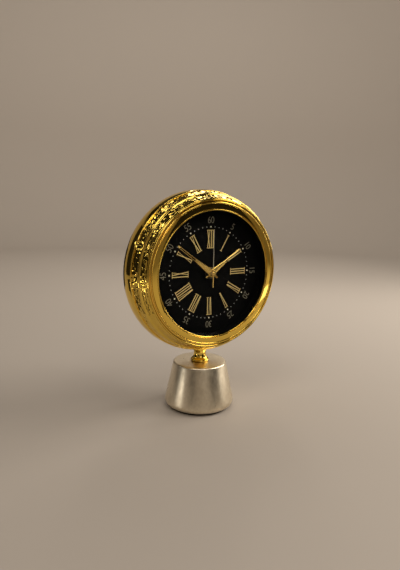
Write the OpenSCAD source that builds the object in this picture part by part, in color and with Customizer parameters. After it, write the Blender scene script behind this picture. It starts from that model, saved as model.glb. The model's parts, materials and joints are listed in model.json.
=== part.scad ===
// Table clock: a round gilt drum case on a waisted neck and a tapered metal base.
// The quartz movement, its wheels, the cell and the fixings are separate pieces.
// Lengths are in millimetres. The origin is the middle of the foot pad's underside,
// +Z is up and the dial faces -Y. The sizes that drive the shape come first, and the
// small inner sizes and all places follow from them in the Hidden section.

/* [Base] */
// Thickness of the soft foot pad
pad_t = 1.5; // [1:0.1:3]
// Height of the metal base, without the pad
base_h = 42.3; // [36:0.1:60]
// Radius of the base at its top
base_top_r = 25; // [24:0.1:30]
// Radius that the straight side would reach at the very bottom
base_foot_r = 34; // [33:0.1:44]
// Rounding of the base's lower edge
base_foot_round = 5; // [2:0.1:6]
// Rounding of the base's upper edge
base_top_round = 0.9; // [0.5:0.1:1.5]
// Thickness of the base's top wall
base_top_t = 6; // [4:0.1:8]
// Thinnest side wall of the base
base_wall = 3; // [2:0.1:4]
// Thickness of the iron ballast disc
ballast_t = 14; // [11:0.1:18]

/* [Neck] */
// Height of the neck between the base and the drum
neck_h = 12; // [9:0.1:18]
// Radius of the neck at its waist
neck_waist_r = 5.7; // [5:0.1:7]
// Radius of the neck where it meets the drum
neck_top_r = 6.5; // [6:0.1:9]
// Radius of the neck's foot on the base
neck_foot_r = 8.7; // [8:0.1:12]
// Radius of the rod that ties the base, neck and drum together
rod_r = 3; // [2.5:0.1:3.5]
// Width of a tie rod nut across its flats
nut_flat = 10; // [9:0.1:12]
// Height of a tie rod nut
nut_h = 5; // [4:0.1:6]

/* [Drum case] */
// How far the drum's widest band stands out beyond its front rim
case_swell = 9.6; // [8:0.1:12]
// Depth of the drum from its front rim to its rear lip
case_depth = 44.2; // [42:0.1:56]
// How far the dial's face lies in front of the neck's axis
dial_forward = 14.2; // [12:0.1:16]
// Thickness of the drum's wall
case_wall = 1.6; // [1:0.1:2.4]
// Radius of the round bead between the two hammered bands
bead_r = 1.75; // [1.2:0.05:2.4]
// Radius of the round turn from the drum's widest band to its rear lip
rear_turn_r = 13.5; // [12:0.1:15]
// Thickness of the rear cover's plate
cover_t = 2; // [1.5:0.1:3]
// How far the rear cover's skirt reaches into the drum
cover_skirt_h = 5; // [3:0.1:7]

/* [Bezel and glass] */
// Radius of the dial that the bezel leaves open
open_r = 56.2; // [55:0.1:58]
// Width of the bezel
bezel_w = 8.4; // [7.5:0.1:9]
// How far the bezel's face stands in front of its inner rim
bezel_rise = 1.2; // [0.8:0.1:2]
// Depth from the bezel's inner rim down to the dial
dial_sink = 9.8; // [9.4:0.1:12]
// Thickness of the glass
glass_t = 2; // [1.5:0.1:2.2]

/* [Dial] */
// Thickness of the dial plate
dial_t = 0.8; // [0.5:0.1:1.2]
// Radius of the ring of minute dots
dots_r = 41.5; // [41:0.1:43]
// Radius of a minute dot
dot_r = 0.35; // [0.2:0.05:0.5]
// Radius of a five-minute dot
big_dot_r = 0.65; // [0.5:0.05:0.9]
// Radius at which the hour numerals start
numeral_in_r = 22.4; // [18:0.1:26]
// Radius at which the hour numerals end
numeral_out_r = 38.7; // [36:0.1:39.5]
// Height of the raised numerals and dots
relief_t = 0.15; // [0.1:0.01:0.3]

/* [Hands] */
// Length of the hour hand from the centre
hour_len = 36.5; // [30:0.1:40]
// Length of the minute hand from the centre
minute_len = 43.6; // [40:0.1:50]
// Length of the seconds hand from the centre
seconds_len = 39.5; // [34:0.1:50]
// Length of the seconds hand's tail
seconds_tail = 12.5; // [8:0.1:16]
// Width of the hour and minute hands beside the hub
blade_w = 5; // [3.5:0.1:6]
// Width of the hour and minute hands at the tip
tip_w = 1.7; // [1:0.1:2.5]
// Width of the seconds hand
seconds_w = 0.8; // [0.5:0.05:1.2]

/* [Time shown] */
// Number of full hours past twelve
hour_count = 1; // [0:1:11]
// Angle of the minute hand, clockwise from twelve
minute_hand_angle = 306; // [0:6:354]
// Angle of the seconds hand, clockwise from twelve
seconds_hand_angle = 0; // [0:6:354]

/* [Movement] */
// Wall thickness of the movement's housing
shell_t = 1.5; // [1.2:0.1:1.8]
// Diameter of the dry cell
cell_d = 14.5; // [13.5:0.1:14.8]
// Length of the dry cell with its contact nub
cell_len = 50.5; // [44:0.1:51]
// Radius of the setting knob
knob_r = 5; // [4:0.1:7]
// Height of the setting knob
knob_h = 2.6; // [2:0.1:4]

/* [Hidden] */
// Smoothness of round pieces and the overrun of every cut
$fn = 96;
cut = 1;

// Clearances: seated pieces, sliding pieces, running shafts and pressed-on pieces
seat_gap = 0.1;
slip_gap = 0.3;
run_gap = 0.06;
press_gap = 0.02;

// Marks round the dial, and the hour hand's angle
minutes = 60;
hours = 12;
minute_angle = 360 / minutes;
hour_angle = 360 / hours;
hour_hand_angle = hour_angle * hour_count + minute_hand_angle / hours;

// Radii of the drum, from the bezel outwards and back to the rear opening
front_gap = 0.3;
bezel_r = open_r + bezel_w;
front_r = bezel_r + front_gap;
case_r = front_r + case_swell;
lip_w = 1.5;
lip_r = case_r - rear_turn_r;
rear_open_r = lip_r - lip_w;

// Heights of the stand
base_z = pad_t;
base_top_z = base_z + base_h;
axis_z = base_top_z + neck_h + case_r;
side_slope = (base_foot_r - base_top_r) / base_h;

// Foot pad and ballast
pad_inset = 0.8;
pad_r = base_foot_r - base_foot_round - pad_inset;
ballast_gap = 0.3;
ballast_z = base_z + ballast_gap;
ballast_top_z = ballast_z + ballast_t;
pocket_r = base_r_at(ballast_top_z) - base_wall;
ballast_r = pocket_r - slip_gap;
cavity_top_z = base_top_z - base_top_t;
cavity_r = base_r_at(cavity_top_z) - 2 * base_wall;

// Turns of the neck's round foot, from underneath to its upper side
foot_turn = [-90, 70];

// Tie rod, its washers and nuts
rod_gap = 0.2;
rod_over = 1;
washer_t = 1.2;
washer_r = 7;
nut_recess_r = washer_r + 2 * slip_gap;
nut_recess_h = washer_t + nut_h + rod_over;
base_washer_z = ballast_z + nut_recess_h - washer_t;
base_nut_z = base_washer_z - nut_h;
rod_low_z = base_nut_z - rod_over / 2;
saddle_r = 8;
saddle_t = 3.4;
saddle_z = axis_z - case_r + case_wall + saddle_t;
rod_top_z = saddle_z + nut_h + rod_over;

// Heights over the dial's face, towards the viewer
crest_z = dial_sink + bezel_rise;
lip_t = 0.5;
seal_t = 0.4;
lip_back_z = dial_sink - lip_t;
glass_z = lip_back_z - seal_t - glass_t;
bezel_back_z = 8;
cup_t = 1;
cup_flange_z = bezel_back_z - cup_t;
glass_hold = 2.7;
glass_r = open_r + glass_hold;
cup_r = glass_r + 4 * seat_gap;
cup_flange_r = bezel_r - 2 * seat_gap;
spacer_t = glass_r - open_r - 2 * seat_gap;
ledge_w = 6;

// Bezel outline: shares of its width and of its rise, with a lip, a face and an outer ridge
bezel_shares = [
    [0, 0], [0.05, 0.35], [0.11, 0.4], [0.15, 0.15], [0.19, 0.96], [0.25, 1], [0.7, 0.45],
    [0.73, 0.1], [0.77, 0.6], [0.88, 0.55], [0.92, -0.05], [1, -0.15],
];

// Drum outline: shares of the rise from the front opening to the widest band,
// and shares of the depth behind the front rim
rim_drop = 0.7;
rim_z = crest_z - rim_drop;
drum_shares = [
    [0, 0.007], [0.0625, 0], [0.134, 0.009], [0.323, 0.07], [0.49, 0.1516], [0.6875, 0.2828],
    [0.781, 0.353], [0.823, 0.3914], [0.849, 0.4253], [0.87, 0.448], [0.943, 0.518],
    [0.99, 0.586], [1, 0.6516],
];
flare_from = 3;
bead_after = 4;
bead_share = [0.4906, 0.2066];
bead_turn = [83, -47];
fillet_after = 8;
fillet_share = [0.859, 0.4367];
fillet_turn = [40, -40];
fillet_r = 0.5;
turn_steps = 10;
rear_z = rim_z - case_depth;
shelf_w = 3.9;

// Rear cover
cover_r = lip_r - seat_gap;
skirt_r = rear_open_r - slip_gap;
skirt_t = 1.8;
cover_ring_r = 46;
cover_ring_w = 2;
cover_ring_h = 0.6;
notch_r = 9;
notch_in = 3;

// Movement housing, with heights over the dial's face
cushion_t = 0.6;
movement_z = -dial_t - cushion_t;
plate_t = 1.6;
inside_z = movement_z - plate_t;
cell_gap = 0.15;
cell_z = inside_z - cell_gap - cell_d / 2;
housing_back_z = inside_z - 2 * cell_gap - cell_d;
back_in_z = housing_back_z + shell_t;
cushion_r = 14;

// Bush, nut and pipes on the centre, from the outside in
bush_r = 3.95;
bush_top_z = 2.9;
dial_hole_r = bush_r + slip_gap;
dial_washer_r = 5.4;
dial_washer_t = 0.4;
dial_nut_flat = 10;
dial_nut_t = 1.6;
arbor_r = 0.5;
minute_pipe_r = 1.5;
hour_pipe_r = 2.5;
bush_bore_r = hour_pipe_r + run_gap;
hour_bore_r = minute_pipe_r + run_gap;
minute_bore_r = arbor_r + run_gap;
pivot_r = 0.45;
pivot_in = 0.7;
pivot_room = 0.1;

// Hands, with heights over the dial's face
blade_t = 0.3;
blade_ridge = 0.45;
hour_hand_z = 3.2;
minute_hand_z = 4.35;
seconds_hand_z = 5.7;
hour_pipe_top_z = hour_hand_z + blade_t + blade_ridge + seat_gap;
minute_pipe_top_z = minute_hand_z + blade_t + blade_ridge + seat_gap;
seconds_t = 0.3;
seconds_boss_h = 0.75;
arbor_top_z = seconds_hand_z + seconds_t;
hour_boss_r = 3.4;
minute_boss_r = 3.1;
seconds_boss_r = 1.7;
tail_len = 6.8;
tail_w = 2.4;

// Tooth counts: sixty turns of the seconds wheel to one of the centre wheel,
// and twelve of the centre wheel to one of the hour wheel
rotor_teeth = 12;
step_teeth = 60;
step_leaves = 10;
seconds_teeth = 60;
seconds_leaves = 8;
third_teeth = 60;
third_leaves = 8;
centre_teeth = 64;
cannon_leaves = 12;
minute_teeth = 36;
minute_leaves = 10;
hour_teeth = 40;
stem_leaves = 12;

// Sizes of teeth: the modules of the meshes, in order from the rotor
train_module = 0.28;
rotor_module = 0.24;
step_module = 0.29;
motion_module = 0.36;
third_dist = (centre_teeth + third_leaves) / 2 * train_module;
seconds_module = 2 * third_dist / (third_teeth + seconds_leaves);
step_dist = (seconds_teeth + step_leaves) / 2 * step_module;
rotor_dist = (step_teeth + rotor_teeth) / 2 * rotor_module;
motion_dist = (minute_teeth + cannon_leaves) / 2 * motion_module;
hour_module = 2 * motion_dist / (hour_teeth + minute_leaves);
stem_dist = (minute_teeth + stem_leaves) / 2 * motion_module;
addendum_share = 0.8;
dedendum_share = 1.15;
root_share = 0.23;
tip_share = 0.1;

// Directions from one arbor to the next, and the arbors' places on the dial
third_dir = 170;
step_dir = 80;
rotor_dir = 20;
minute_dir = -10;
stem_dir = 20;
third_at = polar(third_dist, third_dir);
step_at = polar(step_dist, step_dir);
rotor_at = step_at + polar(rotor_dist, rotor_dir);
minute_wheel_at = polar(motion_dist, minute_dir);
stem_at = minute_wheel_at + polar(stem_dist, stem_dir);

// Levels of the wheels inside the housing, each the front face of a wheel
wheel_t = 0.8;
level_gap = 0.4;
level_step = wheel_t + level_gap;
hour_level = inside_z - 0.25 * wheel_t;
motion_level = hour_level - wheel_t - level_gap;
centre_level = motion_level - level_step;
third_level = centre_level - level_step;
seconds_level = third_level - level_step;
step_level = seconds_level - level_step;
leaf_over = 0.1;
leaf_h = wheel_t + 2 * leaf_over;
hub_share = 0.4;
magnet_r = 3;
magnet_t = 3;
magnet_z = step_level - wheel_t - level_gap - magnet_t;
stator_gap = 0.5;
stator_t = 1;
stator_z = magnet_z + (magnet_t - stator_t) / 2;
stator_rim = 2.7;
arm_w = 4;
bridge_w = 2.5;
coil_len = 12;
coil_rise = 8.5;
coil_y = rotor_at[1] + coil_rise;
core_w = 2;
core_t = 1;
coil_r = 2.5;
core_z = stator_z - core_t;
post_r = 0.9;
pillar_r = 1.2;

// Walls of the housing, round the wheels, the coil and the cell
contact_room = 1.25;
wheel_gap = 1;
coil_gap = 2.55;
divider_t = 1.2;
corner_r = 2;
divider_y = -tip_r(centre_teeth, train_module) - wheel_gap - divider_t;
cell_y = divider_y - 2 * cell_gap - cell_d / 2;
wall_low_y = cell_y - cell_d / 2 - 2 * cell_gap;
wall_top_y = coil_y + coil_r + coil_gap;
room_w = cell_len / 2 + contact_room;

// Circuit board, with the crystal and the chip on it
board_w = 14;
board_h = 12.5;
board_t = 1;
board_margin = 1;
board_x = -room_w + 2 * board_margin;
board_y = wall_top_y - board_h - board_margin;
board_z = back_in_z + 2 * seat_gap;
crystal_r = 1;
crystal_len = 6;
chip_w = 5;
chip_t = 0.9;

// Cell contacts
contact_t = 0.4;
nub_r = 2.75;
nub_h = 1;
dimple_r = 3.2;
contact_w = 9;
contact_h = 10;

// Setting stem and knob
stem_r = 1.2;
stem_pivot_r = 0.8;
knob_gap = 0.3;
knob_z = housing_back_z - knob_gap - knob_h;
knob_flutes = 20;
flute_r = 0.45;

// Hour numerals: stroke widths and letter widths
stroke_w = 0.72;
hair_w = 0.42;
bar_w = 0.45;
one_w = 2.1;
five_w = 3.4;
ten_w = 3.6;
NUMERALS = ["XII", "I", "II", "III", "IV", "V", "VI", "VII", "VIII", "IX", "X", "XI"];

// Radius of the base's straight side at a height above the table
function base_r_at(z) = base_foot_r - side_slope * (z - base_z);

// A point at a distance and an angle
function polar(r, a) = r * [cos(a), sin(a)];

// Points of an ellipse's arc round a centre
function arc_points(c, rx, ry, from, to, steps) = [
    for (i = [0:steps])
        let (a = from + (to - from) * i / steps) c + [rx * cos(a), ry * sin(a)],
];

// Unit normal on the left of the way from one point to another
function left_of(a, b) = let (d = (b - a) / norm(b - a)) [-d[1], d[0]];

// A corner of a line of points, moved left by a thickness
function moved_point(p, i, t) =
    let (n = len(p), a = i > 0 ? left_of(p[i - 1], p[i]) : left_of(p[i], p[i + 1]))
    let (b = i < n - 1 ? left_of(p[i], p[i + 1]) : a)
    p[i] + (a + b) * t / (1 + a * b);

// Rounds the corner b of the path a, b, c with a radius
function rounded_corner(a, b, c, r, steps = 8) =
    let (u = (a - b) / norm(a - b), v = (c - b) / norm(c - b))
    let (half = acos(u * v) / 2, mid = (u + v) / norm(u + v), o = b + mid * r / sin(half))
    let (from = b + u * r / tan(half) - o, to = b + v * r / tan(half) - o)
    let (turn = atan2(from[0] * to[1] - from[1] * to[0], from * to))
    [
        for (i = [0:steps])
            let (k = turn * i / steps)
            o + [from[0] * cos(k) - from[1] * sin(k), from[0] * sin(k) + from[1] * cos(k)],
    ];

// Place on the drum's outline of a pair of shares: radius and height over the dial
function drum_point(s) = [front_r + (case_r - front_r) * s[0], rim_z - case_depth * s[1]];

// Smooth outside of the drum, from its front rim back to its rear lip
function drum_outline() =
    let (last = drum_point(drum_shares[len(drum_shares) - 1]))
    let (turn = arc_points([lip_r, last[1]], last[0] - lip_r, last[1] - rear_z, 0, -90, turn_steps))
    concat([for (s = drum_shares) drum_point(s)], [for (i = [1:turn_steps]) turn[i]]);

// The same outline with its bead and its fine raised line
function beaded_outline() =
    let (rim = drum_outline())
    let (bead = arc_points(drum_point(bead_share), bead_r, bead_r, bead_turn[0], bead_turn[1], turn_steps))
    let (line = arc_points(drum_point(fillet_share), fillet_r, fillet_r, fillet_turn[0], fillet_turn[1], 4))
    concat(
        [for (i = [0:bead_after]) rim[i]],
        bead,
        [for (i = [bead_after + 1:fillet_after]) rim[i]],
        line,
        [for (i = [fillet_after + 1:len(rim) - 1]) rim[i]]
    );

// The point at a height on the way from one point to another
function at_height(a, b, z) = a + (b - a) * (z - a[1]) / (b[1] - a[1]);

// Phase of a gear that meshes with another, seen along the line between their arbors
function mate_phase(phase, line, teeth, mate_teeth) =
    line + 180 - 360 / mate_teeth * ((phase - line) * teeth / 360 + 0.5);

// Widest radius of a gear
function tip_r(teeth, m) = (teeth / 2 + addendum_share) * m;

minute_phase = mate_phase(minute_dir, minute_dir, cannon_leaves, minute_teeth);
stem_phase = mate_phase(minute_phase, stem_dir, minute_teeth, stem_leaves);

// Puts a piece drawn over the dial's face in its place on the clock
module on_dial() {
    translate([0, -dial_forward, axis_z]) rotate([90, 0, 0]) children();
}

// A disc or tube between two heights
module tube(z, h, r, bore = 0) {
    translate([0, 0, z]) difference() {
        cylinder(r = r, h = h);
        if (bore > 0) translate([0, 0, -cut]) cylinder(r = bore, h = h + 2 * cut);
    }
}

// A hexagonal nut of a width across its flats
module hex_nut(z, h, flat, bore) {
    translate([0, 0, z]) difference() {
        cylinder(d = flat / cos(30), h = h, $fn = 6);
        translate([0, 0, -cut]) cylinder(r = bore, h = h + 2 * cut);
    }
}

// A flat gear with straight-sided teeth, one of them at the phase angle
module gear(z, h, teeth, m, phase, bore = 0) {
    pitch = 360 / teeth;
    root = (teeth / 2 - dedendum_share) * m;
    tip = tip_r(teeth, m);
    translate([0, 0, z]) difference() {
        linear_extrude(h) polygon([
            for (i = [0:teeth - 1])
                for (k = [[root, -root_share], [tip, -tip_share], [tip, tip_share], [root, root_share]])
                    polar(k[0], phase + (i + k[1]) * pitch),
        ]);
        if (bore > 0) translate([0, 0, -cut]) cylinder(r = bore, h = h + 2 * cut);
    }
}

// Outline of the movement's housing, with round corners
module housing_outline() {
    w = 2 * (room_w + shell_t);
    low = wall_low_y - shell_t;
    h = wall_top_y + shell_t - low;
    translate([-w / 2, low]) union() {
        translate([0, corner_r]) square([w, h - 2 * corner_r]);
        translate([corner_r, 0]) square([w - 2 * corner_r, h]);
        for (x = [corner_r, w - corner_r], y = [corner_r, h - corner_r])
            translate([x, y]) circle(r = corner_r);
    }
}

// The drum as one solid body, grown by a clearance, for cuts that fit against it
module drum_body(grow) {
    rotate_extrude() polygon(concat(
        [[0, rim_z]],
        [for (p = beaded_outline()) p + [grow, 0]],
        [[0, rear_z]]
    ));
}

// Soft black pad under the base
module foot_pad() {
    color("black") cylinder(r = pad_r, h = pad_t);
}

// Tapered base, hollow from below, with a bored top wall
module base_shell() {
    top = [base_top_r, base_top_z];
    foot = [base_foot_r, base_z];
    color("silver") difference() {
        rotate_extrude() polygon(concat(
            [[0, base_z]],
            rounded_corner([0, base_z], foot, top, base_foot_round),
            rounded_corner(foot, top, [0, base_top_z], base_top_round),
            [[0, base_top_z]]
        ));
        tube(base_z - cut, ballast_top_z - base_z + cut, pocket_r);
        tube(base_z, cavity_top_z - base_z, cavity_r);
        tube(cavity_top_z - cut, base_top_t + 2 * cut, rod_r + rod_gap);
    }
}

// Iron disc that weighs the base down, recessed for the lower nut
module ballast() {
    color("dimgray") difference() {
        tube(ballast_z, ballast_t, ballast_r, rod_r + rod_gap);
        tube(ballast_z - cut, nut_recess_h + cut, nut_recess_r);
    }
}

// Steel washer under the ballast
module base_washer() {
    color("lightgray") tube(base_washer_z, washer_t, washer_r, rod_r + seat_gap);
}

// Nut that clamps the ballast, base, neck and drum on the tie rod
module base_nut() {
    color("lightgray") hex_nut(base_nut_z, nut_h, nut_flat, rod_r + press_gap);
}

// Steel rod through the base, neck and drum wall
module tie_rod() {
    color("lightgray") tube(rod_low_z, rod_top_z - rod_low_z, rod_r);
}

// Waisted gilt neck, cut to sit against the round drum
module neck_spool() {
    foot_h = 0.24 * neck_h;
    waist_z = 0.62 * neck_h;
    top_z = 0.86 * neck_h;
    color("gold") difference() {
        translate([0, 0, base_top_z]) rotate_extrude() polygon(concat(
            [[0, 0]],
            arc_points([neck_foot_r - foot_h / 2, foot_h / 2], foot_h / 2, foot_h / 2,
                foot_turn[0], foot_turn[1], turn_steps),
            [[neck_waist_r + foot_h / 4, waist_z - foot_h], [neck_waist_r, waist_z]],
            [[neck_waist_r, top_z - neck_top_r + neck_waist_r], [neck_top_r, top_z]],
            [[neck_top_r, neck_h + foot_h], [0, neck_h + foot_h]]
        ));
        on_dial() drum_body(seat_gap);
        tube(base_top_z - cut, neck_h + foot_h + 2 * cut, rod_r + rod_gap);
    }
}

// Washer inside the drum, round underneath to follow the drum's wall
module saddle_washer() {
    inner = case_r - case_wall - seat_gap / 2;
    color("lightgray") difference() {
        intersection() {
            tube(saddle_z - 2 * saddle_t, 2 * saddle_t, saddle_r);
            translate([0, saddle_r + cut, axis_z]) rotate([90, 0, 0])
                cylinder(r = inner, h = 2 * (saddle_r + cut));
            on_dial() drum_room();
        }
        tube(saddle_z - 2 * saddle_t - cut, 2 * (saddle_t + cut), rod_r + seat_gap);
    }
}

// The space inside the drum's wall
module drum_room() {
    rim = drum_outline();
    inner = [for (i = [flare_from:len(rim) - 1]) moved_point(rim, i, -case_wall - seat_gap / 2)];
    rotate_extrude() polygon(concat([[0, inner[0][1]]], inner, [[0, inner[len(inner) - 1][1]]]));
}

// Nut on the tie rod inside the drum
module head_nut() {
    color("lightgray") hex_nut(saddle_z, nut_h, nut_flat, rod_r + press_gap);
}

// Gilt drum: front rim, flare, bead, band, rear turn and rear lip in one shell
module case_drum() {
    rim = drum_outline();
    inner = [for (i = [flare_from:len(rim) - 1]) moved_point(rim, i, -case_wall)];
    shelf_z = cup_flange_z - case_wall;
    shelf_r = front_r - shelf_w;
    color("gold") difference() {
        on_dial() rotate_extrude() polygon(concat(
            beaded_outline(),
            [[rear_open_r, rear_z], [rear_open_r, rear_z + case_wall]],
            [for (i = [len(inner) - 1:-1:1]) inner[i]],
            [at_height(inner[1], inner[0], shelf_z), [shelf_r, shelf_z], [shelf_r, cup_flange_z]],
            [[front_r, cup_flange_z]]
        ));
        translate([0, 0, axis_z - case_r - cut])
            cylinder(r = rod_r + rod_gap, h = case_wall + 2 * cut);
    }
}

// Pressed ring that holds the dial, spacer and glass in the drum's front
module dial_cup() {
    color("dimgray") on_dial() rotate_extrude() union() {
        translate([cup_r, cup_flange_z]) square([cup_flange_r - cup_r, cup_t]);
        translate([cup_r, -dial_t - cup_t]) square([cup_t, bezel_back_z + dial_t + cup_t]);
        translate([cup_r - ledge_w, -dial_t - cup_t]) square([ledge_w + cup_t, cup_t]);
    }
}

// Polished front ring with a thin lip, a broad face and an outer ridge
module bezel() {
    color("gold") on_dial() rotate_extrude() polygon([
        [open_r, lip_back_z],
        for (s = bezel_shares) [open_r + s[0] * bezel_w, dial_sink + s[1] * bezel_rise],
        [bezel_r, bezel_back_z],
        [cup_r, bezel_back_z],
        [cup_r, lip_back_z],
    ]);
}

// Thin ring between the bezel's lip and the glass
module glass_seal() {
    color("black") on_dial() tube(glass_z + glass_t, seal_t, glass_r, open_r + 4 * seat_gap);
}

// Flat round glass
module glass() {
    color("lightblue", 0.3) on_dial() tube(glass_z, glass_t, glass_r);
}

// Black inner wall that keeps the glass off the dial
module spacer_ring() {
    color("black") on_dial() tube(0, glass_z, glass_r, glass_r - spacer_t);
}

// Black dial plate with a hole for the movement's bush
module dial_plate() {
    color("black") on_dial() tube(-dial_t, dial_t, glass_r, dial_hole_r);
}

// One slanted stroke from the foot of a letter to its head
module stroke(x_low, x_high, w) {
    h = numeral_out_r - numeral_in_r;
    polygon([[x_low - w / 2, 0], [x_low + w / 2, 0], [x_high + w / 2, h], [x_high - w / 2, h]]);
}

// Width of a numeral's letter
function letter_w(c) = c == "I" ? one_w : c == "V" ? five_w : ten_w;

// Where the letter at an index starts, from the left of its numeral
function letter_x(s, i) = i == 0 ? 0 : letter_x(s, i - 1) + letter_w(s[i - 1]);

// One letter of a numeral, with bars across its head and foot
module letter(c) {
    h = numeral_out_r - numeral_in_r;
    w = letter_w(c);
    lean = w / 2 - stroke_w / 2 - bar_w / 2;
    translate([w / 2, 0]) {
        if (c == "I") stroke(0, 0, stroke_w);
        if (c == "V") {
            stroke(-hair_w / 2, -lean, stroke_w);
            stroke(hair_w / 2, lean, hair_w);
        }
        if (c == "X") {
            stroke(lean, -lean, stroke_w);
            stroke(-lean, lean, hair_w);
        }
        translate([-w / 2, h - bar_w]) square([w, bar_w]);
        if (c != "V") translate([-w / 2, 0]) square([w, bar_w]);
    }
}

// Raised hour numerals, each with its foot towards the centre
module hour_numerals() {
    color("gold") on_dial() linear_extrude(relief_t)
        for (i = [0:hours - 1]) {
            s = NUMERALS[i];
            rotate(-i * hour_angle) translate([-letter_x(s, len(s)) / 2, numeral_in_r])
                for (k = [0:len(s) - 1]) translate([letter_x(s, k), 0]) letter(s[k]);
        }
}

// Ring of minute dots, larger at every fifth minute
module minute_dots() {
    color("wheat") on_dial()
        for (i = [0:minutes - 1]) rotate(-i * minute_angle) translate([0, dots_r, 0])
            cylinder(r = i % 5 == 0 ? big_dot_r : dot_r, h = relief_t);
}

// Brass washer on the dial under the nut
module dial_washer() {
    color("goldenrod") on_dial() tube(0, dial_washer_t, dial_washer_r, bush_r + seat_gap);
}

// Thin nut that clamps the dial to the movement
module dial_nut() {
    color("dimgray") on_dial() hex_nut(dial_washer_t, dial_nut_t, dial_nut_flat, bush_r + press_gap);
}

// Rubber washer between the dial and the movement
module cushion_washer() {
    color("black") on_dial() tube(-dial_t - cushion_t, cushion_t, cushion_r, bush_r + seat_gap);
}

// Blind bearing hole for a pivot in either plate of the housing
module bearing(at, z, r = pivot_r) {
    translate([at[0], at[1], z]) cylinder(r = r + run_gap, h = pivot_in + pivot_room);
}

// Front half of the movement's housing: plate, bush and the minute wheel's post
module movement_front() {
    color("black") on_dial() difference() {
        union() {
            translate([0, 0, inside_z]) linear_extrude(plate_t) housing_outline();
            tube(inside_z, bush_top_z - inside_z, bush_r);
            translate([minute_wheel_at[0], minute_wheel_at[1], motion_level - wheel_t])
                cylinder(r = post_r, h = inside_z - motion_level + wheel_t);
        }
        tube(inside_z - cut, bush_top_z - inside_z + 2 * cut, bush_bore_r);
        for (at = [third_at, step_at, rotor_at]) bearing(at, inside_z);
        bearing(stem_at, inside_z, stem_pivot_r);
    }
}

// Rear half of the housing: walls, back, the cell's bay, bearings and the core's pillars
module movement_rear() {
    depth = inside_z - housing_back_z;
    pillar_x = (coil_len + arm_w) / 2;
    color("black") on_dial() difference() {
        union() {
            difference() {
                translate([0, 0, housing_back_z]) linear_extrude(depth) housing_outline();
                translate([-room_w, divider_y + divider_t, back_in_z])
                    cube([2 * room_w, wall_top_y - divider_y - divider_t, depth]);
            }
            for (side = [-1, 1]) translate([rotor_at[0] + side * pillar_x, coil_y, housing_back_z])
                cylinder(r = pillar_r, h = core_z - housing_back_z);
        }
        translate([-room_w, wall_low_y, housing_back_z - cut])
            cube([2 * room_w, divider_y - wall_low_y, depth + 2 * cut]);
        for (at = [[0, 0], third_at, step_at, rotor_at])
            bearing(at, back_in_z - pivot_in - pivot_room, at == [0, 0] ? arbor_r : pivot_r);
        translate([stem_at[0], stem_at[1], housing_back_z - cut])
            cylinder(r = stem_r + run_gap, h = shell_t + 2 * cut);
    }
}

// A thin arbor between the bearings of the two plates
module arbor(at, r = pivot_r) {
    low = back_in_z - pivot_in;
    translate([at[0], at[1], low]) cylinder(r = r, h = inside_z + pivot_in - low);
}

// Magnet rotor of the stepping motor, with its pinion
module rotor() {
    phase = mate_phase(rotor_dir, rotor_dir, step_teeth, rotor_teeth);
    color("slategray") on_dial() union() {
        arbor(rotor_at);
        translate([rotor_at[0], rotor_at[1], 0]) {
            gear(step_level - wheel_t - leaf_over, leaf_h, rotor_teeth, rotor_module, phase);
            tube(magnet_z, magnet_t, magnet_r);
            tube(magnet_z, step_level - magnet_z, 2 * pivot_r);
        }
    }
}

// Wheel between the rotor and the seconds wheel
module step_wheel() {
    phase = mate_phase(step_dir, step_dir, seconds_teeth, step_leaves);
    color("ivory") on_dial() union() {
        arbor(step_at);
        translate([step_at[0], step_at[1], 0]) {
            gear(step_level - wheel_t, wheel_t, step_teeth, rotor_module, rotor_dir);
            gear(seconds_level - wheel_t - leaf_over, leaf_h, step_leaves, step_module, phase);
            tube(step_level - wheel_t, seconds_level - step_level, 2 * pivot_r);
        }
    }
}

// Seconds wheel on the long centre arbor that carries the seconds hand
module seconds_wheel() {
    low = back_in_z - pivot_in;
    color("ivory") on_dial() union() {
        tube(low, arbor_top_z - low, arbor_r);
        gear(seconds_level - wheel_t, wheel_t, seconds_teeth, step_module, step_dir);
        gear(third_level - wheel_t - leaf_over, leaf_h, seconds_leaves, seconds_module, third_dir);
        tube(seconds_level - wheel_t, third_level - seconds_level,
            hub_share * seconds_leaves * seconds_module);
    }
}

// Third wheel, between the seconds pinion and the centre wheel
module third_wheel() {
    wheel_phase = mate_phase(third_dir, third_dir, seconds_leaves, third_teeth);
    leaf_phase = mate_phase(third_dir, third_dir, centre_teeth, third_leaves);
    color("ivory") on_dial() union() {
        arbor(third_at);
        translate([third_at[0], third_at[1], 0]) {
            gear(third_level - wheel_t, wheel_t, third_teeth, seconds_module, wheel_phase);
            gear(centre_level - wheel_t - leaf_over, leaf_h, third_leaves, train_module, leaf_phase);
            tube(third_level - wheel_t, centre_level - third_level, 2 * pivot_r);
        }
    }
}

// Centre wheel with its cannon pinion and the pipe that carries the minute hand
module centre_wheel() {
    low = centre_level - wheel_t;
    color("ivory") on_dial() difference() {
        union() {
            tube(low, minute_pipe_top_z - low, minute_pipe_r);
            gear(low, wheel_t, centre_teeth, train_module, third_dir);
            gear(motion_level - wheel_t - leaf_over, leaf_h, cannon_leaves, motion_module, minute_dir);
        }
        tube(low - cut, minute_pipe_top_z - low + 2 * cut, minute_bore_r);
    }
}

// Minute wheel and pinion on their post
module minute_wheel() {
    leaf_phase = mate_phase(minute_dir, minute_dir, hour_teeth, minute_leaves);
    low = motion_level - wheel_t;
    color("ivory") on_dial() translate([minute_wheel_at[0], minute_wheel_at[1], 0]) difference() {
        union() {
            gear(low, wheel_t, minute_teeth, motion_module, minute_phase);
            gear(low, hour_level - low, minute_leaves, hour_module, leaf_phase);
        }
        tube(low - cut, hour_level - low + 2 * cut, post_r + run_gap);
    }
}

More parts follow.
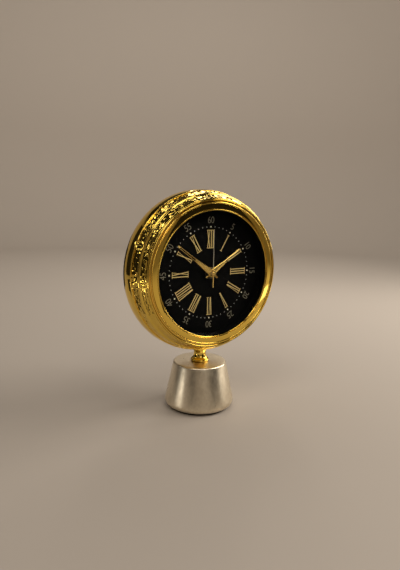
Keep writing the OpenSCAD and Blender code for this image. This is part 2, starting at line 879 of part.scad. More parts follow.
// Hour wheel and the pipe that carries the hour hand
module hour_wheel() {
    low = hour_level - wheel_t;
    color("ivory") on_dial() difference() {
        union() {
            tube(low, hour_pipe_top_z - low, hour_pipe_r);
            gear(low, wheel_t, hour_teeth, hour_module, minute_dir);
        }
        tube(low - cut, hour_pipe_top_z - low + 2 * cut, hour_bore_r);
    }
}

// Stem of the setting knob, with a pinion on the minute wheel
module setting_stem() {
    low = knob_z + seat_gap;
    stem_top_z = motion_level - wheel_t - leaf_over;
    color("ivory") on_dial() translate([stem_at[0], stem_at[1], 0]) union() {
        tube(low, stem_top_z - low, stem_r);
        tube(stem_top_z, inside_z + pivot_in - stem_top_z, stem_pivot_r);
        gear(stem_top_z, leaf_h, stem_leaves, motion_module, stem_phase);
    }
}

// Fluted knob behind the movement that sets the hands
module setting_knob() {
    color("white") on_dial() translate([stem_at[0], stem_at[1], 0]) difference() {
        tube(knob_z, knob_h, knob_r);
        tube(knob_z + seat_gap, knob_h, stem_r + press_gap);
        for (i = [0:knob_flutes - 1]) rotate(i * 360 / knob_flutes)
            translate([knob_r + flute_r / 3, 0, knob_z - cut]) cylinder(r = flute_r, h = knob_h + 2 * cut);
    }
}

// Flat iron stator round the rotor, with two arms up to the coil's core
module stator() {
    x_left = rotor_at[0] - coil_len / 2 - arm_w;
    x_right = rotor_at[0] + coil_len / 2;
    y_low = rotor_at[1] + magnet_r / 2;
    color("silver") on_dial() translate([0, 0, stator_z]) linear_extrude(stator_t) difference() {
        union() {
            translate(rotor_at) circle(r = magnet_r + stator_rim);
            translate([x_left, y_low]) square([x_right + arm_w - x_left, bridge_w]);
            for (x = [x_left, x_right]) translate([x, y_low]) square([arm_w, coil_y + core_w - y_low]);
        }
        translate(rotor_at) circle(r = magnet_r + stator_gap);
    }
}

// Iron core that closes the magnetic path through the coil
module coil_core() {
    w = coil_len + 2 * arm_w;
    color("silver") on_dial() translate([rotor_at[0] - w / 2, coil_y - core_w / 2, core_z])
        cube([w, core_w, core_t]);
}

// Copper winding on the core
module coil() {
    room = core_w + 2 * seat_gap;
    color("peru") on_dial() translate([rotor_at[0], coil_y, core_z + core_t / 2]) difference() {
        rotate([0, 90, 0]) cylinder(r = coil_r, h = coil_len - 2 * seat_gap, center = true);
        cube([coil_len + 2 * cut, room, core_t + 2 * seat_gap], center = true);
    }
}

// Circuit board
module circuit_board() {
    color("darkgreen") on_dial() translate([board_x, board_y, board_z]) cube([board_w, board_h, board_t]);
}

// Tuning crystal in its small can
module quartz_crystal() {
    z = board_z + board_t + crystal_r + seat_gap / 2;
    color("silver") on_dial() translate([board_x + board_w / 4, board_y + board_h - 2 * crystal_r, z])
        rotate([0, 90, 0]) cylinder(r = crystal_r, h = crystal_len);
}

// Chip that drives the motor
module driver_chip() {
    color("black") on_dial() translate([board_x + chip_w / 2, board_y + chip_w / 2, board_z + board_t])
        cube([chip_w, chip_w, chip_t]);
}

// A contact plate at one end of the bay, dimpled towards the cell
module contact(side) {
    reach = room_w - seat_gap - contact_t;
    on_dial() union() {
        translate([side > 0 ? reach : -reach - contact_t, cell_y - contact_w / 2, cell_z - contact_h / 2])
            cube([contact_t, contact_w, contact_h]);
        translate([side * (cell_len / 2 + cell_gap), cell_y, cell_z]) rotate([0, side * 90, 0])
            cylinder(r = dimple_r, h = reach - cell_len / 2 - cell_gap);
    }
}

// Contact for the cell's nub
module plus_contact() {
    color("silver") contact(1);
}

// Contact for the cell's flat end
module minus_contact() {
    color("silver") contact(-1);
}

// Dry cell, lying across the bottom of the movement
module dry_cell() {
    color("dimgray") on_dial() translate([-cell_len / 2, cell_y, cell_z]) rotate([0, 90, 0]) union() {
        cylinder(d = cell_d, h = cell_len - nub_h);
        cylinder(r = nub_r, h = cell_len);
    }
}

// A roof-shaped blade from beside the hub to the tip, with a short tail
module blade(length) {
    from = blade_w / 3;
    top = blade_t + blade_ridge;
    tip_top = blade_t + blade_ridge * tip_w / blade_w;
    polyhedron(
        points = [
            [-blade_w / 2, from, 0], [blade_w / 2, from, 0],
            [tip_w / 2, length, 0], [-tip_w / 2, length, 0],
            [-blade_w / 2, from, blade_t], [blade_w / 2, from, blade_t],
            [tip_w / 2, length, blade_t], [-tip_w / 2, length, blade_t],
            [0, from, top], [0, length, tip_top],
        ],
        faces = [
            [0, 1, 2, 3], [0, 3, 7, 4], [1, 5, 6, 2], [4, 7, 9, 8], [5, 8, 9, 6],
            [0, 4, 8, 5, 1], [3, 2, 6, 9, 7],
        ]
    );
    translate([-tail_w / 2, -tail_len, 0]) cube([tail_w, tail_len, blade_t]);
}

// A hand with its boss, over a pipe
module hand(z, length, boss_r, pipe_r, at) {
    rotate(-at) difference() {
        translate([0, 0, z]) union() {
            blade(length);
            cylinder(r = boss_r, h = blade_t + blade_ridge);
        }
        tube(z - cut, blade_t + blade_ridge + 2 * cut, pipe_r + press_gap);
    }
}

// Hour hand
module hour_hand() {
    color("gold") on_dial() hand(hour_hand_z, hour_len, hour_boss_r, hour_pipe_r, hour_hand_angle);
}

// Minute hand
module minute_hand() {
    color("gold") on_dial()
        hand(minute_hand_z, minute_len, minute_boss_r, minute_pipe_r, minute_hand_angle);
}

// Thin seconds hand with a long tail and a closed boss
module seconds_hand() {
    color("gold") on_dial() rotate(-seconds_hand_angle) difference() {
        union() {
            translate([-seconds_w / 2, -seconds_tail, seconds_hand_z])
                cube([seconds_w, seconds_tail + seconds_len, seconds_t]);
            tube(seconds_hand_z, seconds_boss_h, seconds_boss_r);
        }
        tube(seconds_hand_z - cut, arbor_top_z - seconds_hand_z + cut + seat_gap, arbor_r + press_gap);
    }
}

// Rear cover: plate, skirt inside the drum's lip, a raised ring and two finger notches
module rear_cover() {
    color("black") on_dial() difference() {
        union() {
            tube(rear_z - cover_t, cover_t, cover_r);
            tube(rear_z, cover_skirt_h, skirt_r, skirt_r - skirt_t);
            tube(rear_z - cover_t - cover_ring_h, cover_ring_h + cover_t / 2,
                cover_ring_r, cover_ring_r - cover_ring_w);
        }
        for (side = [-1, 1]) translate([side * (cover_r + notch_r - notch_in), 0, rear_z - cover_t - cut])
            cylinder(r = notch_r, h = cover_t / 2 + cut);
    }
}

foot_pad();
base_shell();
ballast();
base_washer();
base_nut();
tie_rod();
neck_spool();
saddle_washer();
head_nut();
case_drum();
dial_cup();
bezel();
glass_seal();
glass();
spacer_ring();
dial_plate();
hour_numerals();
minute_dots();
dial_washer();
dial_nut();
cushion_washer();
movement_front();
movement_rear();
rotor();
step_wheel();
seconds_wheel();
third_wheel();
centre_wheel();
minute_wheel();
hour_wheel();
setting_stem();
setting_knob();
stator();
coil_core();
coil();
circuit_board();
quartz_crystal();
driver_chip();
plus_contact();
minus_contact();
dry_cell();
hour_hand();
minute_hand();
seconds_hand();
rear_cover();
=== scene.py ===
# %% [markdown]
# # A round table clock
#
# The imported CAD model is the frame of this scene. It holds every piece of the clock at its real
# place and size, and each piece rides on a body that the joints move. This lesson gives the clock
# its looks: the hammered drum, the polished bezel, the printed dial, the folded hands, the turned
# neck and base, and a finish for every hidden piece too.

# %% Load the frame
import json
import math
import random

import bmesh
import bpy
from mathutils import Matrix, Vector, kdtree


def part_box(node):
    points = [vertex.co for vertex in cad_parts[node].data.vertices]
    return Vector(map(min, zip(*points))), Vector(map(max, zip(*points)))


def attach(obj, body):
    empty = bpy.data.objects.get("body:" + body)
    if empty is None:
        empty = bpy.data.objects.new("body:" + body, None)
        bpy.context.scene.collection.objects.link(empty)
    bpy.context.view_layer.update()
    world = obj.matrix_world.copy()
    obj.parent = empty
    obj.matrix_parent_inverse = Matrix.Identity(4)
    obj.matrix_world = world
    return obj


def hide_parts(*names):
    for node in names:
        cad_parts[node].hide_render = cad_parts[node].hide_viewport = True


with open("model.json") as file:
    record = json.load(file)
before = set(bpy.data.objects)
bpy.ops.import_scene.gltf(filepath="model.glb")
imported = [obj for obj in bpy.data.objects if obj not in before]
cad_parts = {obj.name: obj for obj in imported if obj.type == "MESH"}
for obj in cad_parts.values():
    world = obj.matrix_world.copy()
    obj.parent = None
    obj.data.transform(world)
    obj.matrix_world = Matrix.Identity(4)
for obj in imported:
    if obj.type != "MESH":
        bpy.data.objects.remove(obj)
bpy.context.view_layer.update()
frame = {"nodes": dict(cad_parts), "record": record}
print("CAD nodes:", len(frame["nodes"]))

# %% [markdown]
# Lengths in this script are written in millimetres, as in a drawing, and `MM` turns them into
# Blender's metres. Most pieces are round about one of two lines: the upright line through the base
# and neck, or the line through the middle of the dial that points at the viewer. A dial piece is
# drawn flat, with x to the right, y up and z towards the viewer, and `ON_DIAL` stands it up.

# %% Units and places
MM = 0.001
TURN = 2 * math.pi
joints = {joint["name"]: joint for joint in frame["record"]["behaviour"]["joints"]}
DIAL = Vector(joints["minute_turn"]["pos_m"])
ON_DIAL = Matrix.Translation(DIAL) @ Matrix.Rotation(TURN / 4, 4, "X")
print("Middle of the dial:", [round(x, 4) for x in DIAL])

# %% [markdown]
# ## The camera
#
# A photograph taken from 43 cm away shows strong perspective, so the camera stands at the real
# distance. Its place was worked out from the ellipses of the minute ring, the bezel and the base.
# It looks from the left and slightly from above, and it is rolled by one degree. The focal length
# is measured in pixels of the photograph, and the film's long side turns it into millimetres.

# %% Camera
VIEW_AZIMUTH = math.radians(-31.41)
VIEW_ELEVATION = math.radians(9.98)
VIEW_ROLL = math.radians(1.15)
VIEW_DISTANCE = 430.7 * MM
VIEW_TARGET = DIAL + Vector((-9.96, 0, -10.43)) * MM
FILM = 36.0
PHOTO_HEIGHT = 570
FOCAL_PIXELS = 479.7


def direction(azimuth, elevation):
    """Unit vector to a place round the clock. Azimuth 0 is in front and grows to the right."""
    level = math.cos(elevation)
    return Vector((math.sin(azimuth) * level, -math.cos(azimuth) * level, math.sin(elevation)))


back = direction(VIEW_AZIMUTH, VIEW_ELEVATION)
level_right = Vector((math.cos(VIEW_AZIMUTH), math.sin(VIEW_AZIMUTH), 0))
level_up = back.cross(level_right)
right = level_right * math.cos(VIEW_ROLL) + level_up * math.sin(VIEW_ROLL)
up = back.cross(right)
turned = Matrix((right, up, back)).transposed().to_4x4()
lens = bpy.data.cameras.new("camera")
lens.sensor_width = FILM
lens.lens = FOCAL_PIXELS * FILM / PHOTO_HEIGHT
camera = bpy.data.objects.new("camera", lens)
camera.matrix_world = Matrix.Translation(VIEW_TARGET + back * VIEW_DISTANCE) @ turned
bpy.context.scene.collection.objects.link(camera)
bpy.context.scene.camera = camera
print("Focal length:", round(lens.lens, 2), "mm")

# %% [markdown]
# ## Making round pieces
#
# Nearly all of this clock was turned, spun or pressed round, so one helper does most of the work.
# It takes the outline of half a section, rounds the corners that ask for it, and spins it about
# the z axis. A spin slows down badly as its steps add up, so only an eighth of the turn is spun.
# Three rounds of copying and turning make the rest, and merging doubles closes every seam.

# %% Round corners in an outline
ARC_STEPS = 5
MOST_OF_SIDE = 0.48


def rounded(points, steps=ARC_STEPS):
    """Outline through (radius, height) points, where a third number rounds that corner."""
    out = []
    for i, point in enumerate(points):
        if len(point) < 3:
            out.append(tuple(point))
            continue
        here = Vector(point[:2])
        before = Vector(points[i - 1][:2]) - here
        after = Vector(points[(i + 1) % len(points)][:2]) - here
        half = before.angle(after) / 2
        shorter = min(before.length, after.length)
        reach = min(point[2] / math.tan(half), MOST_OF_SIDE * shorter)
        size = reach * math.tan(half)
        inwards = (before.normalized() + after.normalized()).normalized()
        middle = here + inwards * size / math.sin(half)
        start = here + before.normalized() * reach - middle
        end = here + after.normalized() * reach - middle
        sweep = start.angle_signed(end)
        for k in range(steps + 1):
            turn = Matrix.Rotation(-sweep * k / steps, 2)
            out.append(tuple(middle + turn @ start))
    return out


square = [(0, 0, 1), (9, 0, 1), (9, 9, 1), (0, 9, 1)]
print("Points of a square with round corners:", len(rounded(square)))


# %% Spin an outline
SEAM = 0.001


def lathe(outline, steps, closed=True):
    """Mesh of an outline in millimetres, spun about z. A closed outline gives a closed ring."""
    bm = bmesh.new()
    verts = [bm.verts.new((radius * MM, 0, height * MM)) for radius, height in outline]
    edges = [bm.edges.new(pair) for pair in zip(verts, verts[1:])]
    if closed:
        edges.append(bm.edges.new((verts[-1], verts[0])))
    bmesh.ops.spin(
        bm, geom=verts + edges, cent=(0, 0, 0), axis=(0, 0, 1),
        angle=TURN / 8, steps=steps // 8, use_merge=False,
    )
    for eighths in (1, 2, 4):
        copied = bmesh.ops.duplicate(bm, geom=bm.verts[:] + bm.edges[:] + bm.faces[:])["geom"]
        corners = [part for part in copied if isinstance(part, bmesh.types.BMVert)]
        step = Matrix.Rotation(TURN * eighths / 8, 3, "Z")
        bmesh.ops.rotate(bm, verts=corners, cent=(0, 0, 0), matrix=step)
    bmesh.ops.remove_doubles(bm, verts=bm.verts, dist=SEAM * MM)
    return bm


sample = lathe([(8, 0), (9, 0), (9, 1), (8, 1)], steps=32)
print("Faces of a plain spun ring:", len(sample.faces))
sample.free()

# %% [markdown]
# A finished mesh gets outward faces, smooth shading and sharp edges only where it really turns a
# corner. Then it rides on the CAD body that carries it, takes its finish, and stands for the plain
# CAD nodes that it replaces.

# %% Turn a mesh into a piece of the clock
def make_piece(name, bm, finish, body="stand", replaces=(), sharp=32):
    """Piece from a bmesh, with its shading, finish, body and the nodes it replaces."""
    bmesh.ops.recalc_face_normals(bm, faces=bm.faces)
    for face in bm.faces:
        face.smooth = True
    for edge in bm.edges:
        if edge.is_manifold and edge.calc_face_angle() > math.radians(sharp):
            edge.smooth = False
    mesh = bpy.data.meshes.new(name)
    bm.to_mesh(mesh)
    bm.free()
    piece = bpy.data.objects.new(name, mesh)
    bpy.context.scene.collection.objects.link(piece)
    mesh.materials.append(finish)
    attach(piece, body)
    if replaces:
        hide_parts(*replaces)
    print(name, "faces:", len(mesh.polygons))
    return piece


# %% [markdown]
# ## Finishes
#
# Real surfaces are never even. Three effects are shared by most finishes here, so each is a node
# group that is built once: soft smudges that dull a polish in places, fine brushed or turned
# lines, and the small grain of a cast or moulded face. A group only puts out masks and heights.
# Each material keeps its own shader, with its plain numbers on the shader's own sockets.

# %% Node helpers
def add_node(tree, kind, inputs=None, **settings):
    """New node, with its own settings and the values of its inputs by name or number."""
    node = tree.nodes.new(kind)
    for key, value in settings.items():
        setattr(node, key, value)
    for key, value in (inputs or {}).items():
        node.inputs[key].default_value = value
    return node


def new_group(name, sockets_in, sockets_out):
    """Empty node group with named float or vector inputs and float outputs."""
    tree = bpy.data.node_groups.new(name, "ShaderNodeTree")
    for label, value in sockets_in.items():
        kind = "NodeSocketVector" if isinstance(value, tuple) else "NodeSocketFloat"
        socket = tree.interface.new_socket(label, in_out="INPUT", socket_type=kind)
        socket.default_value = value
    for label in sockets_out:
        tree.interface.new_socket(label, in_out="OUTPUT", socket_type="NodeSocketFloat")
    return tree, tree.nodes.new("NodeGroupInput"), tree.nodes.new("NodeGroupOutput")


# %% [markdown]
# ### Smudges
#
# Fingers and cloths leave broad cloudy patches. They could be painted, but a large noise that is
# distorted by itself gives them everywhere at once, and a smooth map range pulls it towards black
# and white so that it works as a mask. `Coverage` says how much of the surface it takes.

# %% Smudge group
def smudge_group():
    """Mask of broad cloudy patches."""
    tree, given, out = new_group("smudges", {"Scale": 60.0, "Coverage": 0.5}, ["Mask"])
    place = add_node(tree, "ShaderNodeTexCoord")
    cloud = {"Detail": 5.0, "Roughness": 0.62, "Distortion": 0.8}
    noise = add_node(tree, "ShaderNodeTexNoise", cloud)
    low = add_node(tree, "ShaderNodeMath", {0: 0.86}, operation="SUBTRACT")
    soft = add_node(tree, "ShaderNodeMapRange", {"From Max": 0.82}, interpolation_type="SMOOTHSTEP")
    link = tree.links.new
    link(place.outputs["Object"], noise.inputs["Vector"])
    link(given.outputs["Scale"], noise.inputs["Scale"])
    link(given.outputs["Coverage"], low.inputs[1])
    link(low.outputs[0], soft.inputs["From Min"])
    link(noise.outputs["Fac"], soft.inputs["Value"])
    link(soft.outputs["Result"], out.inputs["Mask"])
    return tree


SMUDGES = smudge_group()
print("Nodes in the smudge group:", len(SMUDGES.nodes))

# %% [markdown]
# ### Turned lines
#
# A lathe tool or a polishing cloth leaves rings about the axis of a turned piece. The group
# measures how far a point is from that axis and how far along it, and feeds both to a noise that
# is therefore the same all round the ring. `Axis` is 1 along the axis and 0 across it. `Height` is
# the fine lines for bump, and `Streak` is a broader version of them for colour.

# %% Turned lines group
def turned_group():
    """Rings about an axis, fine for bump and broad for colour."""
    tree, given, out = new_group(
        "turned_lines",
        {"Centre": (0.0, 0.0, 0.0), "Axis": (0.0, 0.0, 1.0), "Scale": 900.0},
        ["Height", "Streak"],
    )
    place = add_node(tree, "ShaderNodeTexCoord")
    local = add_node(tree, "ShaderNodeVectorMath", operation="SUBTRACT")
    along = add_node(tree, "ShaderNodeVectorMath", operation="DOT_PRODUCT")
    lengthwise = add_node(tree, "ShaderNodeVectorMath", operation="SCALE")
    across = add_node(tree, "ShaderNodeVectorMath", operation="SUBTRACT")
    radius = add_node(tree, "ShaderNodeVectorMath", operation="LENGTH")
    ring = add_node(tree, "ShaderNodeCombineXYZ")
    noise = add_node(tree, "ShaderNodeTexNoise", {"Detail": 3.0, "Roughness": 0.7})
    slow = add_node(tree, "ShaderNodeMath", {1: 0.11}, operation="MULTIPLY")
    broad = add_node(tree, "ShaderNodeTexNoise", {"Detail": 2.0})
    link = tree.links.new
    link(place.outputs["Object"], local.inputs[0])
    link(given.outputs["Centre"], local.inputs[1])
    link(local.outputs[0], along.inputs[0])
    link(given.outputs["Axis"], along.inputs[1])
    link(given.outputs["Axis"], lengthwise.inputs[0])
    link(along.outputs["Value"], lengthwise.inputs["Scale"])
    link(local.outputs[0], across.inputs[0])
    link(lengthwise.outputs[0], across.inputs[1])
    link(across.outputs[0], radius.inputs[0])
    link(radius.outputs["Value"], ring.inputs["X"])
    link(along.outputs["Value"], ring.inputs["Y"])
    for texture in (noise, broad):
        link(ring.outputs[0], texture.inputs["Vector"])
    link(given.outputs["Scale"], noise.inputs["Scale"])
    link(given.outputs["Scale"], slow.inputs[0])
    link(slow.outputs[0], broad.inputs["Scale"])
    link(noise.outputs["Fac"], out.inputs["Height"])
    link(broad.outputs["Fac"], out.inputs["Streak"])
    return tree


TURNED = turned_group()
print("Nodes in the group of turned lines:", len(TURNED.nodes))

# %% [markdown]
# ### Grain
#
# Cast, moulded and blasted faces have a fine even grain. `Stretch` squeezes it along an axis, so
# the same group also gives brushed strokes. It puts out a height for bump and a soft mask.

# %% Grain group
def grain_group():
    """Fine grain for bump and a coarse mask for colour."""
    tree, given, out = new_group(
        "grain", {"Stretch": (1.0, 1.0, 1.0), "Scale": 900.0}, ["Height", "Mask"],
    )
    place = add_node(tree, "ShaderNodeTexCoord")
    squeeze = add_node(tree, "ShaderNodeVectorMath", operation="MULTIPLY")
    fine = add_node(tree, "ShaderNodeTexNoise", {"Detail": 4.0, "Roughness": 0.6})
    coarse_scale = add_node(tree, "ShaderNodeMath", {1: 0.17}, operation="MULTIPLY")
    coarse = add_node(tree, "ShaderNodeTexNoise", {"Detail": 3.0})
    link = tree.links.new
    link(place.outputs["Object"], squeeze.inputs[0])
    link(given.outputs["Stretch"], squeeze.inputs[1])
    for texture in (fine, coarse):
        link(squeeze.outputs[0], texture.inputs["Vector"])
    link(given.outputs["Scale"], fine.inputs["Scale"])
    link(given.outputs["Scale"], coarse_scale.inputs[0])
    link(coarse_scale.outputs[0], coarse.inputs["Scale"])
    link(fine.outputs["Fac"], out.inputs["Height"])
    link(coarse.outputs["Fac"], out.inputs["Mask"])
    return tree


GRAIN = grain_group()
print("Nodes in the grain group:", len(GRAIN.nodes))

# %% [markdown]
# ### From groups to a material
#
# `make_finish` lays out one Principled shader. A mask of smudges moves its roughness between two
# values, a second mask moves its colour between two shades, and a height gives it bump. Every
# finish of the clock is one call with its own colours and numbers. What is the same all over a
# surface, such as `IOR=1.15`, goes by keyword straight to the shader's own socket of that name.

# %% Build a material
def make_finish(name, shades, rough, metallic=0.0, texture=None, settings=None, bump=0.0,
                bump_depth=0.05, smudge=60.0, coverage=0.5, **shader_values):
    """Principled material: two shades and two roughness values, mixed by the shared groups."""
    material = bpy.data.materials.new(name)
    material.use_nodes = True
    tree = material.node_tree
    shader = tree.nodes["Principled BSDF"]
    shader.inputs["Metallic"].default_value = metallic
    for socket, value in shader_values.items():
        shader.inputs[socket.replace("_", " ")].default_value = value
    cloudy = {"Scale": smudge, "Coverage": coverage}
    worn = add_node(tree, "ShaderNodeGroup", cloudy, node_tree=SMUDGES)
    detail = add_node(tree, "ShaderNodeGroup", settings, node_tree=texture or GRAIN)
    colour = add_node(tree, "ShaderNodeMix", data_type="RGBA")
    colour.inputs["A"].default_value = (*shades[0], 1)
    colour.inputs["B"].default_value = (*shades[1], 1)
    gloss = add_node(tree, "ShaderNodeMapRange", {"To Min": rough[0], "To Max": rough[1]})
    mask = "Streak" if texture == TURNED else "Mask"
    link = tree.links.new
    link(detail.outputs[mask], colour.inputs["Factor"])
    link(colour.outputs["Result"], shader.inputs["Base Color"])
    link(worn.outputs["Mask"], gloss.inputs["Value"])
    link(gloss.outputs["Result"], shader.inputs["Roughness"])
    if bump:
        relief = add_node(tree, "ShaderNodeBump", {"Strength": bump, "Distance": bump_depth * MM})
        link(detail.outputs["Height"], relief.inputs["Height"])
        link(relief.outputs["Normal"], shader.inputs["Normal"])
    material.diffuse_color = (*shades[0], 1)
    return material


# %% [markdown]
# ### Gilt
#
# The case and bezel are gold-plated metal. Plating is a mirror with a strong yellow colour, so
# the look comes from a metallic shader with low roughness and from what stands round it. The
# polish carries faint rings about the dial's axis, and finger smudges dull it in places. The hands
# are satin gilt sheet: a little less metallic, so that they stay bright against the black dial.

# %% Gilt finishes
DIAL_RINGS = {"Centre": tuple(DIAL), "Axis": (0.0, 1.0, 0.0), "Scale": 2600.0}
BASE_RINGS = {"Centre": (0.0, 0.0, 0.0), "Axis": (0.0, 0.0, 1.0), "Scale": 2600.0}
GOLD = (0.94, 0.68, 0.15)
DEEP_GOLD = (0.86, 0.57, 0.08)
hammered_gilt = make_finish(
    "hammered_gilt", (GOLD, DEEP_GOLD), (0.04, 0.12), metallic=1.0,
    settings={"Scale": 700.0}, bump=0.08, bump_depth=0.06, smudge=45.0, coverage=0.4,
)
polished_gilt = make_finish(
    "polished_gilt", (GOLD, DEEP_GOLD), (0.06, 0.15), metallic=1.0,
    texture=TURNED, settings=DIAL_RINGS, bump=0.10, bump_depth=0.02, smudge=50.0, coverage=0.4,
)
neck_gilt = make_finish(
    "neck_gilt", (GOLD, DEEP_GOLD), (0.06, 0.16), metallic=1.0,
    texture=TURNED, settings=BASE_RINGS, bump=0.12, bump_depth=0.03, smudge=120.0, coverage=0.45,
)
hand_gilt = make_finish(
    "hand_gilt", ((0.80, 0.56, 0.17), (0.68, 0.45, 0.12)), (0.18, 0.28), metallic=0.82,
    settings={"Scale": 2500.0, "Stretch": (1.0, 1.0, 0.25)}, bump=0.2, bump_depth=0.02,
    smudge=160.0,
)
dull_gilt = make_finish(
    "dull_gilt", ((0.33, 0.29, 0.22), (0.27, 0.23, 0.17)), (0.38, 0.50), metallic=0.3,
    settings={"Scale": 2500.0}, bump=0.15, bump_depth=0.02, smudge=160.0,
)
print("Gilt finishes made")

# %% [markdown]
# ### Prints on the dial
#
# The numerals and dots are foil and paint on a matt black plate. They lie flat, so a mirror
# finish would only show the dark room in front of the dial. A print is mostly colour with a
# little sheen, which also keeps it readable from every side. The dots at the fives are cream and
# the small ones between them grey, and a mask finds the fives from the angle round the dial.

# %% Mask of the five-minute dots
def fives_group():
    """Mask that is 1 near every twelfth part of a turn round the dial, and 0 between."""
    tree, given, out = new_group("fives", {"Reach": 0.1}, ["Mask"])
    place = add_node(tree, "ShaderNodeTexCoord")
    local = add_node(tree, "ShaderNodeVectorMath", {1: tuple(DIAL)}, operation="SUBTRACT")
    axes = add_node(tree, "ShaderNodeSeparateXYZ")
    turn = add_node(tree, "ShaderNodeMath", operation="ARCTAN2")
    hours = add_node(tree, "ShaderNodeMath", {1: 12 / TURN, 2: 0.5}, operation="MULTIPLY_ADD")
    part = add_node(tree, "ShaderNodeMath", operation="FRACT")
    near = add_node(tree, "ShaderNodeMath", {1: 0.5}, operation="COMPARE")
    link = tree.links.new
    link(place.outputs["Object"], local.inputs[0])
    link(local.outputs[0], axes.inputs[0])
    link(axes.outputs["X"], turn.inputs[0])
    link(axes.outputs["Z"], turn.inputs[1])
    link(turn.outputs[0], hours.inputs[0])
    link(hours.outputs[0], part.inputs[0])
    link(part.outputs[0], near.inputs[0])
    link(given.outputs["Reach"], near.inputs[2])
    link(near.outputs[0], out.inputs["Mask"])
    return tree


FIVES = fives_group()
print("Nodes in the mask of the fives:", len(FIVES.nodes))

# %% Dial finishes
gilt_print = make_finish(
    "gilt_print", ((0.72, 0.54, 0.21), (0.60, 0.43, 0.15)), (0.40, 0.52), metallic=0.15,
    settings={"Scale": 3000.0}, bump=0.1, bump_depth=0.02, smudge=220.0,
)
cream_print = make_finish(
    "cream_print", ((0.52, 0.52, 0.49), (0.88, 0.80, 0.58)), (0.5, 0.6),
    texture=FIVES, smudge=220.0,
)
bronze_print = make_finish(
    "bronze_print", ((0.24, 0.215, 0.15), (0.19, 0.17, 0.115)), (0.45, 0.55), metallic=0.1,
    settings={"Scale": 3000.0}, bump=0.1, bump_depth=0.02, smudge=220.0,
)
dial_black = make_finish(
    "dial_black", ((0.0015, 0.0015, 0.0015), (0.003, 0.003, 0.0028)), (0.5, 0.65),
    settings={"Scale": 1800.0}, bump=0.05, bump_depth=0.02, smudge=35.0, Specular_IOR_Level=0.03,
)
print("Dial finishes made")

# %% [markdown]
# ### Satin silver
#
# The base is nickel with a warm satin finish: blasted lightly, so that it has a fine grain and
# broad clouds of two shades. A middle roughness spreads a reflection until a lamp shows as a tall
# soft band. Anisotropy could do that too, but a round taper draws the band by itself.

# %% Satin silver finish
satin_silver = make_finish(
    "satin_silver", ((0.95, 0.87, 0.69), (0.66, 0.57, 0.42)), (0.27, 0.40), metallic=1.0,
    settings={"Scale": 2300.0, "Stretch": (1.0, 1.0, 0.7)}, bump=0.3, smudge=160.0, coverage=0.6,
)
print("Satin silver made")

# %% [markdown]
# ### Glass, rubber and plastic
#
# The glass is clear float glass: a plain transmission weight and no roughness. Its index of
# refraction is 1.15, where real glass has about 1.5, so that the lamps hardly show in it and the
# dial stays deep black. Rubber and plastics are dull, with the grain of their mould.

# %% Clear and dark finishes
clear_glass = make_finish(
    "clear_glass", ((0.98, 0.99, 0.98), (0.96, 0.98, 0.97)), (0.0, 0.0),
    settings={"Scale": 300.0}, smudge=40.0, coverage=0.35, Transmission_Weight=1.0, IOR=1.15,
)
soft_black = make_finish(
    "soft_black", ((0.014, 0.014, 0.013), (0.022, 0.021, 0.020)), (0.55, 0.7),
    settings={"Scale": 1600.0}, bump=0.35,
)
cover_plastic = make_finish(
    "cover_plastic", ((0.020, 0.020, 0.020), (0.032, 0.031, 0.030)), (0.42, 0.58),
    settings={"Scale": 2200.0}, bump=0.6, bump_depth=0.12,
)
movement_black = make_finish(
    "movement_black", ((0.016, 0.016, 0.017), (0.026, 0.026, 0.028)), (0.35, 0.5),
    settings={"Scale": 1900.0}, bump=0.4, bump_depth=0.08,
)
ivory_plastic = make_finish(
    "ivory_plastic", ((0.78, 0.73, 0.60), (0.70, 0.65, 0.52)), (0.32, 0.45),
    settings={"Scale": 1500.0}, bump=0.15, bump_depth=0.04, Subsurface_Weight=0.08,
)
board_green = make_finish(
    "board_green", ((0.02, 0.13, 0.05), (0.03, 0.18, 0.07)), (0.28, 0.4),
    settings={"Scale": 900.0, "Stretch": (1.0, 1.0, 6.0)}, bump=0.3, bump_depth=0.04,
)
print("Clear and dark finishes made")

# %% [markdown]
# ### Metals inside
#
# Nobody sees the ballast, the tie rod or the motor, but a part library shows them when the clock
# is taken apart. Each gets the finish of its trade: cast iron, zinc, spring nickel, lacquered
# copper wire, ferrite and brass.

# %% Inner metals
cast_iron = make_finish(
    "cast_iron", ((0.09, 0.09, 0.09), (0.14, 0.13, 0.12)), (0.55, 0.75), metallic=0.8,
    settings={"Scale": 900.0}, bump=0.8, bump_depth=0.2,
)
zinc_steel = make_finish(
    "zinc_steel", ((0.62, 0.63, 0.65), (0.50, 0.52, 0.55)), (0.25, 0.42), metallic=1.0,
    settings={"Scale": 1100.0}, bump=0.2, bump_depth=0.04,
)
dark_steel = make_finish(
    "dark_steel", ((0.05, 0.045, 0.04), (0.08, 0.07, 0.06)), (0.45, 0.6), metallic=0.9,
    settings={"Scale": 1100.0}, bump=0.2, bump_depth=0.04,
)
nickel_strip = make_finish(
    "nickel_strip", ((0.72, 0.69, 0.62), (0.62, 0.58, 0.50)), (0.18, 0.3), metallic=1.0,
    settings={"Scale": 1400.0, "Stretch": (0.1, 1.0, 1.0)}, bump=0.2, bump_depth=0.03,
)
plain_brass = make_finish(
    "plain_brass", ((0.72, 0.50, 0.20), (0.60, 0.40, 0.14)), (0.22, 0.38), metallic=1.0,
    settings={"Scale": 1400.0}, bump=0.15, bump_depth=0.03,
)
copper_wire = make_finish(
    "copper_wire", ((0.70, 0.28, 0.13), (0.42, 0.14, 0.06)), (0.2, 0.32), metallic=1.0,
    settings={"Scale": 700.0, "Stretch": (8.0, 0.3, 0.3)}, bump=0.9, bump_depth=0.15,
)
magnet_grey = make_finish(
    "magnet_grey", ((0.06, 0.06, 0.065), (0.09, 0.09, 0.095)), (0.4, 0.55), metallic=0.5,
    settings={"Scale": 1500.0}, bump=0.3,
)
